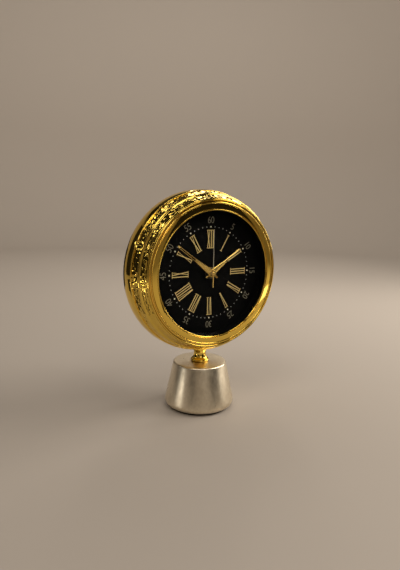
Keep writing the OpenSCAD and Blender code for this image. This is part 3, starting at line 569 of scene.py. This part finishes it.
cell_sleeve = make_finish(
    "cell_sleeve", ((0.10, 0.22, 0.16), (0.13, 0.28, 0.20)), (0.22, 0.34), metallic=0.3,
    settings={"Scale": 500.0, "Stretch": (0.4, 1.0, 1.0)}, bump=0.1, bump_depth=0.03,
)
print("Inner metals made")

# %% [markdown]
# ## The drum
#
# The case is a sheet-metal drum. From the front it has a rolled rim with two fine grooves, a
# hammered flare, a half-round bead, a second hammered band, a fine raised line, a smooth band and
# a round turn to the rear lip. The section is drawn once, from the front rim backwards, with
# points close together where the hammer marks will be.

# %% Outline of the drum
REAR_Z = -33.9
LIP_R = 61.0
CASE_R = 74.47
WALL = 1.6
HAMMER_STEP = 0.46
BELLY_Z = -18.5
FLARE = [
    (67.05, 8.75), (68.0, 7.2), (69.6, 3.6), (71.5, -2.2),
    (72.4, -5.3), (72.8, -7.0), (73.05, -8.45),
]
BEAD = {"at": (69.61, 1.17), "r": 1.75, "from": 83, "to": -47}
LINE = {"at": (73.05, -9.0), "r": 0.8, "from": 50, "to": -42}


def arc(at, r, start, end, steps, squash=1.0):
    """Points on an arc, given in degrees, about a centre in an outline."""
    turns = [math.radians(start + (end - start) * k / steps) for k in range(steps + 1)]
    return [(at[0] + r * math.cos(t), at[1] + r * squash * math.sin(t)) for t in turns]


def fine_steps(points, step):
    """The same outline with points added so that none is further on than the step."""
    out = [points[0]]
    for a, b in zip(points, points[1:]):
        parts = max(1, math.ceil(math.dist(a, b) / step))
        for k in range(1, parts + 1):
            out.append(tuple(start + (end - start) * k / parts for start, end in zip(a, b)))
    return out


bead_arc = arc(BEAD["at"], BEAD["r"], BEAD["from"], BEAD["to"], 9)
line_arc = arc(LINE["at"], LINE["r"], LINE["from"], LINE["to"], 4)
front_rim = (
    [(64.9, 8.2), (64.9, 9.8)]
    + arc((65.5, 9.7), 0.6, 165, 20, 6)
    + [(66.12, 9.45), (66.3, 9.35)]
    + arc((66.62, 9.1), 0.34, 120, -10, 4)
)
before_bead = [p for p in FLARE if p[1] > bead_arc[0][1]] + [bead_arc[0]]
after_bead = [bead_arc[-1]] + [p for p in FLARE if p[1] < bead_arc[-1][1]]
band_1 = fine_steps(before_bead, HAMMER_STEP)
band_2 = fine_steps(after_bead, HAMMER_STEP)
smooth_band = [(73.25, -9.55), (73.6, -11.1), (73.95, -12.6), (74.2, -14.0), (74.4, -15.6)]
turn_depth = (REAR_Z - BELLY_Z) / (LIP_R - CASE_R)
turn_back = arc((LIP_R, BELLY_Z), CASE_R - LIP_R, 0, -88, 12, squash=turn_depth)
rear_lip = [(LIP_R - 0.4, REAR_Z), (LIP_R - 1.1, REAR_Z + 0.1), (LIP_R - 1.5, REAR_Z + 0.5)]
inside = [
    (LIP_R - 1.5, REAR_Z + WALL), (CASE_R - WALL - 2.5, -26.0), (CASE_R - WALL, BELLY_Z),
    (66.6, 7.0), (64.9, 7.0),
]
drum_outline = front_rim + band_1 + bead_arc[1:-1] + band_2 + line_arc
drum_outline += smooth_band + turn_back + rear_lip + inside
print("Points in the drum's outline:", len(drum_outline))

# %% [markdown]
# Hammer marks are shallow bowls that overlap, so sharp little ridges stay between them. A bump map
# could fake them, but real dents also show in the drum's outline and in the mesh itself.
# Their middles lie in staggered rows round the drum, each pushed a little out of place. A vertex
# looks up the nearest middle: it sinks by the depth of that bowl, less the further it is from the
# middle. Each bowl also leans its own way, which makes neighbours flash at different moments. The
# marks fade out at the edge of a band, where the bead and the grooves stay round.

# %% Hammer marks
DRUM_STEPS = 880
ROW_GAP = 2.0
MARK_LENGTH = 3.5
MARK_DEPTH = 0.13
MARK_LEAN = 0.2
MARK_REACH = 0.62  # radius of a bowl, in rows
MARK_SHIFT = (0.27, 0.45)  # how far a middle strays: round in marks, back in millimetres
MARK_SPREAD = (0.65, 1.2)  # shares of the depth that the bowls have
MARK_SEED = 7
RIDGE_RISE = 0.05
BAND_SINK = 0.1
EDGE_FADE = 0.5
BAND_R = 70
BAND_FROM_R = 66.9
BANDS = [(9.0, 2.9), (-0.1, -8.5)]


# %% Places of the marks
def mark_middles():
    """Middles of the hammer marks: unrolled place, how deep each goes and how it leans."""
    dice = random.Random(MARK_SEED)
    marks = []
    for high, low in BANDS:
        rows = round((high - low) / ROW_GAP)
        for row in range(rows):
            height = high - (row + 0.5) * (high - low) / rows
            count = round(TURN * BAND_R / MARK_LENGTH) + row % 2
            for k in range(count):
                turn = (k + 0.5 * (row % 2) + dice.uniform(-MARK_SHIFT[0], MARK_SHIFT[0])) / count
                shifted = height + dice.uniform(-MARK_SHIFT[1], MARK_SHIFT[1])
                depth = dice.uniform(*MARK_SPREAD)
                marks.append((turn, shifted, depth, dice.uniform(-1, 1), dice.uniform(-1, 1)))
    return marks


marks = mark_middles()
print("Hammer marks:", len(marks))


# %% Press the marks into the drum
def hammer(bm, marks):
    """Presses the marks into the two bands of a spun drum."""
    unrolled = TURN * BAND_R * (ROW_GAP / MARK_LENGTH)
    tree = kdtree.KDTree(3 * len(marks))
    for shift in (-1, 0, 1):
        for index, mark in enumerate(marks):
            tree.insert(((mark[0] + shift) * unrolled, mark[1], 0), index)
    tree.balance()
    moved = 0
    for vert in bm.verts:
        radius = math.hypot(vert.co.x, vert.co.y)
        height = vert.co.z / MM
        edge = max(min(high - height, height - low) for high, low in BANDS)
        if edge <= 0 or radius < BAND_FROM_R * MM:
            continue
        turn = math.atan2(vert.co.y, vert.co.x) / TURN % 1
        place = Vector((turn * unrolled, height, 0))
        middle, index, distance = tree.find(place)
        depth, lean_round, lean_back = marks[index][2:]
        away = place - middle
        sink = MARK_DEPTH * depth * (1 - (distance / (MARK_REACH * ROW_GAP)) ** 2)
        tilt = MARK_LEAN * (lean_round * away.x + lean_back * away.y)
        press = (max(sink, -RIDGE_RISE) + tilt + BAND_SINK) * min(1, edge / EDGE_FADE) * MM
        vert.co -= Vector((vert.co.x, vert.co.y, 0)).normalized() * press
        moved += 1
    print("Vertices under the hammer:", moved)


drum = lathe(drum_outline, steps=DRUM_STEPS)
hammer(drum, marks)
drum.transform(ON_DIAL)
make_piece("case_shell", drum, hammered_gilt, replaces=["case_drum"], sharp=60)

# %% [markdown]
# ## The bezel
#
# The polished ring that holds the glass has a thin bright lip round the opening, a broad flat face
# that falls slightly outwards, and a narrow ridge at the outer edge. A fine groove parts the lip
# from the face, and another parts the face from the ridge. It is spun with more steps than the
# neck, because a mirror shows every flat.

# %% Bezel
bezel_outline = (
    [(56.2, 9.3)] + arc((56.8, 10.05), 0.6, 180, 15, 8)
    + rounded([(57.4, 10.0), (57.55, 10.95, 0.15), (62.15, 10.3, 0.15), (62.3, 9.95)])
    + arc((62.95, 10.0), 0.62, 175, 5, 8)
    + [(63.7, 9.75), (64.4, 9.6), (64.6, 9.3), (64.6, 8.0), (59.4, 8.0), (59.4, 9.3)]
)
bezel = lathe(bezel_outline, steps=288)
bezel.transform(ON_DIAL)
make_piece("bezel_ring", bezel, polished_gilt, replaces=["bezel"])

# %% [markdown]
# ## Glass and inner wall
#
# The glass is a flat disc with a tiny bevel on each edge, and the black ring under it hides the
# step down to the dial. Their heights come from the CAD nodes that they replace. The glass casts
# no shadow, because a path tracer would otherwise leave the dial behind it too dark.

# %% Glass and spacer
GLASS_R = 58.9
GLASS_BEVEL = 0.2
WALL_IN_R = 56.3


def over_dial(node):
    """Lowest and highest face of a CAD node over the dial, in millimetres."""
    low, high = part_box(node)
    return (DIAL[1] - high[1]) / MM, (DIAL[1] - low[1]) / MM


glass_low, glass_high = over_dial("glass")
glass = lathe([
    (0, glass_low), (GLASS_R - GLASS_BEVEL, glass_low), (GLASS_R, glass_low + GLASS_BEVEL),
    (GLASS_R, glass_high - GLASS_BEVEL), (GLASS_R - GLASS_BEVEL, glass_high), (0, glass_high),
], steps=192, closed=False)
glass.transform(ON_DIAL)
front_glass = make_piece("front_glass", glass, clear_glass, replaces=["glass"])
front_glass.visible_shadow = False
wall_low, wall_high = over_dial("spacer_ring")
wall_out_r = (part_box("spacer_ring")[1][0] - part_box("spacer_ring")[0][0]) / 2 / MM
inner_wall = lathe([
    (WALL_IN_R, wall_low), (wall_out_r, wall_low), (wall_out_r, wall_high), (WALL_IN_R, wall_high),
], steps=192)
inner_wall.transform(ON_DIAL)
make_piece("inner_wall", inner_wall, dial_black, replaces=["spacer_ring"])
print("Glass from", round(glass_low, 2), "to", round(glass_high, 2), "mm over the dial")

# %% [markdown]
# ## Figures of the minutes
#
# The dial carries the minutes in fives outside the ring of dots, thin and dull, with the top of
# each figure pointing outwards. A text object draws them, and a small negative offset makes the
# built-in letter thinner. Each text becomes a mesh before it is turned into its place.

# %% Minute figures
FIGURE_HEIGHT = 6.4
FIGURE_LOW_R = 44.6
FIGURE_WIDTH = 0.84
CAPITAL_SHARE = 0.73
STROKE_LESS = 0.11
PRINT_HEIGHT = 0.04
PRINT_MIDDLE = 0.06


def figure_mesh(label):
    """Flat, slightly raised mesh of a label, centred on x and standing on y = 0."""
    text = bpy.data.curves.new("figure", "FONT")
    text.body = label
    text.align_x = "CENTER"
    text.size = FIGURE_HEIGHT / CAPITAL_SHARE * MM
    text.offset = -STROKE_LESS * MM
    text.extrude = PRINT_HEIGHT * MM
    text.resolution_u = 4
    text.space_character = 0.95
    holder = bpy.data.objects.new("figure", text)
    bpy.context.scene.collection.objects.link(holder)
    bpy.context.view_layer.update()
    finished = holder.evaluated_get(bpy.context.evaluated_depsgraph_get())
    mesh = bpy.data.meshes.new_from_object(finished)
    bpy.data.objects.remove(holder)
    bpy.data.curves.remove(text)
    return mesh


figures = bmesh.new()
for hour in range(12):
    mesh = figure_mesh(str(5 * hour or 60))
    thin = Matrix.Diagonal((FIGURE_WIDTH, 1, 1, 1))
    lift = Matrix.Translation((0, FIGURE_LOW_R * MM, PRINT_MIDDLE * MM))
    mesh.transform(Matrix.Rotation(-TURN * hour / 12, 4, "Z") @ lift @ thin)
    figures.from_mesh(mesh)
    bpy.data.meshes.remove(mesh)
figures.transform(ON_DIAL)
bmesh.ops.remove_doubles(figures, verts=figures.verts, dist=SEAM * MM)
make_piece("minute_figures", figures, bronze_print)

# %% [markdown]
# ## The hands
#
# The two long hands are pressed from thin gilt sheet. Near the hub a hand is folded like a roof,
# and it narrows towards the middle. Its outer part is an open loop: two thin rails with a gap,
# joined at the tip. A grid is the right start, because its rows run along the hand: the rows are
# drawn in to the width wanted, the middle column is raised for the ridge and the second from each
# edge for a rounded rail, and the faces of the gap are taken out before the sheet is thickened.

# %% Width of a hand
HAND_WIDTH = 6.4
HAND_TAIL = 6.8
TAIL_HALF = 1.1
TAIL_TAPER = 0.3
GAP_FROM = 0.5
NARROWING = 0.9
ROUND_FROM = 0.97
ROUND_OVER = 0.03
ROUND_LEAST = 0.25


def half_width(along, length, waist, tip):
    """Half the width of a hand at a distance along it, where the tail is below zero."""
    if along < 0:
        return TAIL_HALF + TAIL_TAPER * along / HAND_TAIL
    share = along / length
    if share < GAP_FROM:
        half = HAND_WIDTH / 2 + (waist - HAND_WIDTH) / 2 * (share / GAP_FROM) ** NARROWING
    else:
        half = waist / 2 + (tip - waist) / 2 * (share - GAP_FROM) / (1 - GAP_FROM)
    if share > ROUND_FROM:
        half *= math.sqrt(max(ROUND_LEAST, 1 - ((share - ROUND_FROM) / ROUND_OVER) ** 2))
    return half


print("Width of the hour hand at its hub:", 2 * half_width(0, 36.5, 2.3, 1.9), "mm")

# %% Blade of a hand
BLADE_T = 0.3
BLADE_STEPS = 30
FOLD_RISE = 0.75
FOLD_AT_HUB = 1.1
FOLD_LEFT = 0.15
RAIL_WIDTH = 0.62
RAIL_CREST = 0.34
RAIL_RISE = 0.28
TIP_BAR = 1.3
BOSS_BORE = 1.6
BOSS_HEIGHT = 0.85


def join(bm, part):
    """Adds the faces of one bmesh to another, and frees it."""
    mesh = bpy.data.meshes.new("part")
    part.to_mesh(mesh)
    part.free()
    bm.from_mesh(mesh)
    bpy.data.meshes.remove(mesh)


def blade(length, low, waist, tip, boss_r):
    """Hand that points up the dial from the centre, with its tail and boss, in millimetres."""
    bm = bmesh.new()
    bmesh.ops.create_grid(bm, x_segments=6, y_segments=BLADE_STEPS, size=1)
    gap_faces = []
    for face in bm.faces:
        middle = face.calc_center_median()
        along = (middle.y + 1) / 2 * (length + HAND_TAIL) - HAND_TAIL
        if GAP_FROM * length < along < length - TIP_BAR and abs(middle.x) < 0.5:
            gap_faces.append(face)
    for vert in bm.verts:
        along = (vert.co.y + 1) / 2 * (length + HAND_TAIL) - HAND_TAIL
        half = half_width(along, length, waist, tip)
        fade = min(1, max(FOLD_LEFT, FOLD_AT_HUB - max(0, along / length) / GAP_FROM))
        section = [
            (0, FOLD_RISE * fade), (half - RAIL_WIDTH, 0),
            (half - RAIL_CREST, RAIL_RISE), (half, 0),
        ]
        column = round(3 * vert.co.x)
        across, fold = section[abs(column)]
        vert.co = Vector((math.copysign(across, column), along, low + fold)) * MM
    bmesh.ops.delete(bm, geom=gap_faces, context="FACES")
    bmesh.ops.recalc_face_normals(bm, faces=bm.faces)
    if sum(face.normal.z for face in bm.faces) < 0:
        bmesh.ops.reverse_faces(bm, faces=bm.faces)
    bmesh.ops.solidify(bm, geom=bm.faces[:], thickness=BLADE_T * MM)
    high = low + BOSS_HEIGHT
    join(bm, lathe(rounded([
        (BOSS_BORE, low), (boss_r, low, 0.1), (boss_r, high, 0.35), (BOSS_BORE, high, 0.1),
    ]), steps=64))
    return bm


# %% [markdown]
# The clock shows nine minutes to two. The minute hand has turned 306 degrees past the hour, and
# the hour hand has left the I by a twelfth of that.

# %% Hour and minute hands
MINUTE_DEGREES = 306
MINUTE_TURN = math.radians(MINUTE_DEGREES)
HOUR_TURN = math.radians(30 + MINUTE_DEGREES / 12)
hour_hand = blade(length=36.5, low=3.2, waist=2.3, tip=1.9, boss_r=3.6)
hour_hand.transform(ON_DIAL @ Matrix.Rotation(-HOUR_TURN, 4, "Z"))
make_piece(
    "hour_blade", hour_hand, hand_gilt, "hour_train", ["hour_hand"], sharp=12,
)
minute_hand = blade(length=43.6, low=4.35, waist=2.4, tip=2.0, boss_r=3.4)
minute_hand.transform(ON_DIAL @ Matrix.Rotation(-MINUTE_TURN, 4, "Z"))
make_piece(
    "minute_blade", minute_hand, hand_gilt, "minute_train", ["minute_hand"], sharp=12,
)

# %% [markdown]
# The seconds hand is a plain needle with a counterweight tail, a little wider at the tail, and a
# small turned boss that presses on the middle arbor. Its long part is dull, and its boss, tail and
# root are gilt like the other hands. Two material slots on one mesh do that, because a face says
# by number which slot it takes.

# %% Seconds hand
NEEDLE_LENGTH = 39.5
NEEDLE_TAIL = 12.5
NEEDLE_LOW = 5.85
NEEDLE_T = 0.15
NEEDLE_HALF = 0.36
TAIL_MORE = 0.15
TIP_LESS = 0.08
NEEDLE_RIDGE = 0.1
GILT_TO = 6
CAP_R = 1.7
CAP_LOW = 5.7
DOME_LOW = 5.75
needle = bmesh.new()
bmesh.ops.create_grid(needle, x_segments=2, y_segments=14, size=1)
for vert in needle.verts:
    along = (vert.co.y + 1) / 2 * (NEEDLE_LENGTH + NEEDLE_TAIL) - NEEDLE_TAIL
    half = NEEDLE_HALF + TAIL_MORE * max(0, -along / NEEDLE_TAIL)
    half -= TIP_LESS * max(0, along / NEEDLE_LENGTH)
    height = NEEDLE_LOW + NEEDLE_RIDGE * (1 - abs(vert.co.x))
    vert.co = Vector((vert.co.x * half, along, height)) * MM
for face in needle.faces:
    face.material_index = 1 if face.calc_center_median().y < GILT_TO * MM else 0
bmesh.ops.solidify(needle, geom=needle.faces[:], thickness=NEEDLE_T * MM)
dome = arc((0, DOME_LOW), CAP_R, 8, 90, 8, squash=0.47)
cap = lathe([(0, CAP_LOW), (1.65, CAP_LOW), (CAP_R, DOME_LOW)] + dome, steps=48, closed=False)
for face in cap.faces:
    face.material_index = 1
join(needle, cap)
needle.transform(ON_DIAL)
seconds = make_piece(
    "seconds_needle", needle, dull_gilt, "seconds_train", ["seconds_hand"], sharp=20,
)
seconds.data.materials.append(hand_gilt)

# %% [markdown]
# ## Neck and base
#
# The neck is a small turned spool: a round-edged foot, a hollow curve up to a slim waist, and a
# collar that meets the drum. Its top follows the round of the drum, so the highest rings of points
# are moved onto a cylinder instead of being cut by a boolean, which leaves rough edges.

# %% Neck
BORE_R = 3.2
COLLAR_R = 6.5
FRONT_LESS = 0.5  # how much narrower the drum is in front of the neck's middle
SKIN_SINK = 0.1
HOLLOW = [
    (7.45, 3.1), (6.95, 3.7), (6.5, 4.4), (6.1, 5.3), (5.85, 6.3), (5.7, 7.5), (5.7, 8.7),
    (5.85, 9.7), (6.15, 10.5), (COLLAR_R, 11.1),
]
base_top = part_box("base_shell")[1][2] / MM
neck_top = DIAL[2] / MM - CASE_R + 1.0
neck_outline = [(BORE_R, base_top), (7.6, base_top)]
neck_outline += arc((7.35, base_top + 1.4), 1.35, -75, 60, 8)
neck_outline += [(radius, base_top + height) for radius, height in HOLLOW]
neck_outline += [(COLLAR_R, neck_top), (BORE_R, neck_top)]
neck = lathe(neck_outline, steps=96)
for vert in neck.verts:
    if vert.co.z > (neck_top - 0.01) * MM:
        drum_r = (CASE_R - (FRONT_LESS if vert.co.y < 0 else 0)) * MM
        vert.co.z = DIAL[2] - math.sqrt(drum_r ** 2 - vert.co.x ** 2) + SKIN_SINK * MM
make_piece("neck_turning", neck, neck_gilt, replaces=["neck_spool"])

# %% [markdown]
# The base is a tapered weight with a soft lower edge and a small round at the top. It is hollow
# from below for the ballast.

# %% Base
EDGE_R = 5.0
pad_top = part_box("foot_pad")[1][2] / MM
base_outline = arc((27.8, pad_top + EDGE_R), EDGE_R, -90, 12, 12)
base_outline += rounded([
    (32.0, pad_top + 9.3), (25.0, base_top, 1.6), (BORE_R, base_top), (BORE_R, base_top - 6),
    (26.0, base_top - 28), (26.8, pad_top),
], steps=8)
base = lathe(base_outline, steps=192)
make_piece("base_body", base, satin_silver, replaces=["base_shell"])

# %% [markdown]
# ## Finishes for the CAD pieces
#
# Every other piece keeps its CAD shape, which is exact, and takes a finish of its own. A node's
# material slots are changed, and never its mesh.

# %% Dress the CAD nodes
NODES_OF = [
    (gilt_print, "hour_numerals"), (cream_print, "minute_dots"), (dial_black, "dial_plate"),
    (soft_black, "foot_pad glass_seal cushion_washer"), (cover_plastic, "rear_cover"),
    (movement_black, "movement_front movement_rear driver_chip"), (board_green, "circuit_board"),
    (zinc_steel, "base_washer base_nut tie_rod saddle_washer head_nut dial_cup"),
    (zinc_steel, "stator coil_core quartz_crystal"), (nickel_strip, "plus_contact minus_contact"),
    (cast_iron, "ballast"), (dark_steel, "dial_nut"), (plain_brass, "dial_washer"),
    (copper_wire, "coil"), (magnet_grey, "rotor"), (cell_sleeve, "dry_cell"),
    (ivory_plastic, "step_wheel seconds_wheel third_wheel centre_wheel minute_wheel"),
    (ivory_plastic, "hour_wheel setting_stem setting_knob"),
]
dressed = {name: finish for finish, names in NODES_OF for name in names.split()}
for name, finish in dressed.items():
    node = frame["nodes"][name]
    node.data.materials.clear()
    node.data.materials.append(finish)
left = sorted(set(frame["nodes"]) - set(dressed))
print("CAD nodes with a new finish:", len(dressed), "and replaced:", left)

# %% [markdown]
# ## Studio
#
# Polished metal shows its surroundings, so the room matters as much as the lamps. A round sweep
# of pale paper is floor and backdrop in one and looks the same from every side. It is far too
# large to show its rim, and its bend is so wide that it draws no line behind the clock.

# %% Floor and backdrop
SWEEP_R = 2000.0
SWEEP_BEND = 500.0
SWEEP_HIGH = 1600.0


def matt(name, colour):
    """Plain dull material for what belongs to the studio."""
    material = bpy.data.materials.new(name)
    material.use_nodes = True
    shader = material.node_tree.nodes["Principled BSDF"]
    shader.inputs["Base Color"].default_value = (*colour, 1)
    shader.inputs["Roughness"].default_value = 0.9
    return material


def set_up(name, bm, material):
    """Turns a bmesh into a thing of the studio, which isn't part of the clock."""
    mesh = bpy.data.meshes.new(name)
    bm.to_mesh(mesh)
    bm.free()
    mesh.materials.append(material)
    holder = bpy.data.objects.new(name, mesh)
    bpy.context.scene.collection.objects.link(holder)
    return holder


sweep = lathe(
    rounded([(0, 0), (SWEEP_R, 0, SWEEP_BEND), (SWEEP_R, SWEEP_HIGH)], steps=16),
    steps=96, closed=False,
)
bmesh.ops.recalc_face_normals(sweep, faces=sweep.faces)
bmesh.ops.reverse_faces(sweep, faces=sweep.faces)
for face in sweep.faces:
    face.smooth = True
floor = set_up("floor", sweep, matt("paper", (0.44, 0.39, 0.34)))
print("Faces of the sweep:", len(floor.data.polygons))

# %% [markdown]
# ### Lamps
#
# Area lamps do the work of softboxes. Their strength is given as the brightness of their face,
# `glow`, so that a larger lamp gives more light but looks no brighter in a reflection. `facing`
# puts a lamp or a card on a sphere round the dial and turns it to the dial or to another aim.

# %% Softbox
WARM = (1.0, 0.93, 0.84)


def facing(azimuth, elevation, distance, aim=DIAL):
    """Matrix at a place round the dial, turned to face an aim. Angles are in degrees."""
    place = DIAL + direction(math.radians(azimuth), math.radians(elevation)) * distance
    return Matrix.Translation(place) @ (place - aim).to_track_quat("Z", "Y").to_matrix().to_4x4()


def softbox(name, azimuth, elevation, distance, size, glow, aim=DIAL):
    """Warm area lamp whose face has the brightness glow."""
    lamp = bpy.data.lights.new(name, "AREA")
    lamp.shape = "RECTANGLE"
    lamp.size, lamp.size_y = size
    lamp.energy = math.pi * size[0] * size[1] * glow
    lamp.color = WARM
    holder = bpy.data.objects.new(name, lamp)
    holder.matrix_world = facing(azimuth, elevation, distance, aim)
    bpy.context.scene.collection.objects.link(holder)
    return holder


# %% [markdown]
# Thin strips on the left, above and behind draw bright lines along the bead and flash in the
# hammer marks. The one in front lights the bezel, and stands so high that the flat glass doesn't
# throw it back to someone who looks at the dial straight from the front. The broad softboxes light
# the clock and the paper. Angles are in degrees, and distances and sizes in metres.

# %% Strips and softboxes
STRIP_DISTANCE = 0.72
STRIPS = [
    (-118, 22, 0.30, 0.022, 4.5), (-126, 44, 0.26, 0.022, 4.5), (-160, 60, 0.035, 0.30, 5.0),
    (150, 48, 0.08, 0.35, 6.0), (134, 30, 0.07, 0.35, 6.0), (-9, 21, 0.18, 0.20, 2.8),
]
SOFTBOXES = [
    ("window", 60, 36, 1.1, (0.5, 0.5), 7.0), ("right", 88, 16, 1.0, (0.22, 0.5), 8.0),
    ("front", 8, 56, 1.0, (0.4, 0.3), 4.0), ("fill", -60, 55, 1.2, (0.5, 0.4), 4.0),
]
for k, (azimuth, elevation, width, height, glow) in enumerate(STRIPS):
    softbox(f"strip_{k}", azimuth, elevation, STRIP_DISTANCE, (width, height), glow)
for name, azimuth, elevation, distance, size, glow in SOFTBOXES:
    softbox(f"lamp_{name}", azimuth, elevation, distance, size, glow)

# %% [markdown]
# Four lamps above the clock light the paper all round, most of all behind it as the camera sees
# it. Two low ones belong to the satin base, which shows each as a soft upright band. They are seen
# by reflections only, so that they put no light on the floor and never stand in the picture.

# %% Paper lamps and low lamps
PAPER_LAMPS = [(149, 10.0), (59, 3.0), (-31, 3.0), (-121, 3.0)]
PAPER_SPOT = (60, 1.3, (1.0, 0.4))  # elevation, distance and size of such a lamp
PAPER_AIM = (10, 2.0)  # elevation and distance of the paper that it is aimed at
LOW_LAMPS = [(62, 0.34, 1.7), (-100, 0.07, 9.0)]
LOW_SPOT = (-16, 0.43)
LOW_HEIGHT = 0.05
BASE_MIDDLE = Vector((0, 0, 0.03))
for k, (azimuth, glow) in enumerate(PAPER_LAMPS):
    wall = DIAL + direction(math.radians(azimuth), math.radians(PAPER_AIM[0])) * PAPER_AIM[1]
    softbox(f"lamp_wall_{k}", azimuth, *PAPER_SPOT, glow, wall)
for k, (azimuth, width, glow) in enumerate(LOW_LAMPS):
    low = softbox(f"lamp_low_{k}", azimuth, *LOW_SPOT, (width, LOW_HEIGHT), glow, BASE_MIDDLE)
    low.visible_camera = False
    low.visible_diffuse = False
print("Lamps:", len(bpy.data.lights))

# %% [markdown]
# ### Cards
#
# Gold looks like gold only where bright reflections lie beside dark ones, and in a pale room it
# would turn flat. So black cards stand round the clock, as in a real product studio: in front of
# the dial, on the left, above and behind, and four narrow ones low on the left, which streak the
# lower drum. Only reflections see them, so they take no light from the clock or the paper.

# %% Black cards
CARDS = [
    ("front", 30, 7.5, 0.60, (0.36, 0.42)), ("low", 29, -21, 0.31, (0.22, 0.16)),
    ("left", -118, 14, 0.85, (0.90, 0.72)), ("high", -140, 56, 0.90, (0.70, 0.50)),
    ("middle", -56, -2, 0.65, (0.25, 0.22)), ("behind", -172, -4, 0.50, (0.30, 0.22)),
    ("streak_0", -112, -38, 0.20, (0.03, 0.12)), ("streak_1", -123, -28, 0.26, (0.03, 0.12)),
    ("streak_2", -104, -24, 0.30, (0.035, 0.12)), ("streak_3", -128, -19, 0.38, (0.04, 0.12)),
]
card_black = matt("card_black", (0.008, 0.008, 0.008))
for name, azimuth, elevation, distance, size in CARDS:
    sheet = bmesh.new()
    bmesh.ops.create_grid(sheet, x_segments=1, y_segments=1, size=0.5)
    sheet.transform(facing(azimuth, elevation, distance) @ Matrix.Diagonal((*size, 1, 1)))
    card = set_up(f"card_{name}", sheet, card_black)
    card.visible_camera = False
    card.visible_diffuse = False
    card.visible_shadow = False
print("Black cards:", len(CARDS))

# %% [markdown]
# ### Room and view
#
# A faint warm light from the room keeps shadows from going fully black. The Standard view shows a
# colour about as it is written, where the default view would fade the gold.

# %% Room and view
world = bpy.data.worlds.new("room")
world.use_nodes = True
world.node_tree.nodes["Background"].inputs["Color"].default_value = (0.05, 0.045, 0.04, 1)
bpy.context.scene.world = world
bpy.context.scene.view_settings.view_transform = "Standard"
print("View:", bpy.context.scene.view_settings.view_transform)
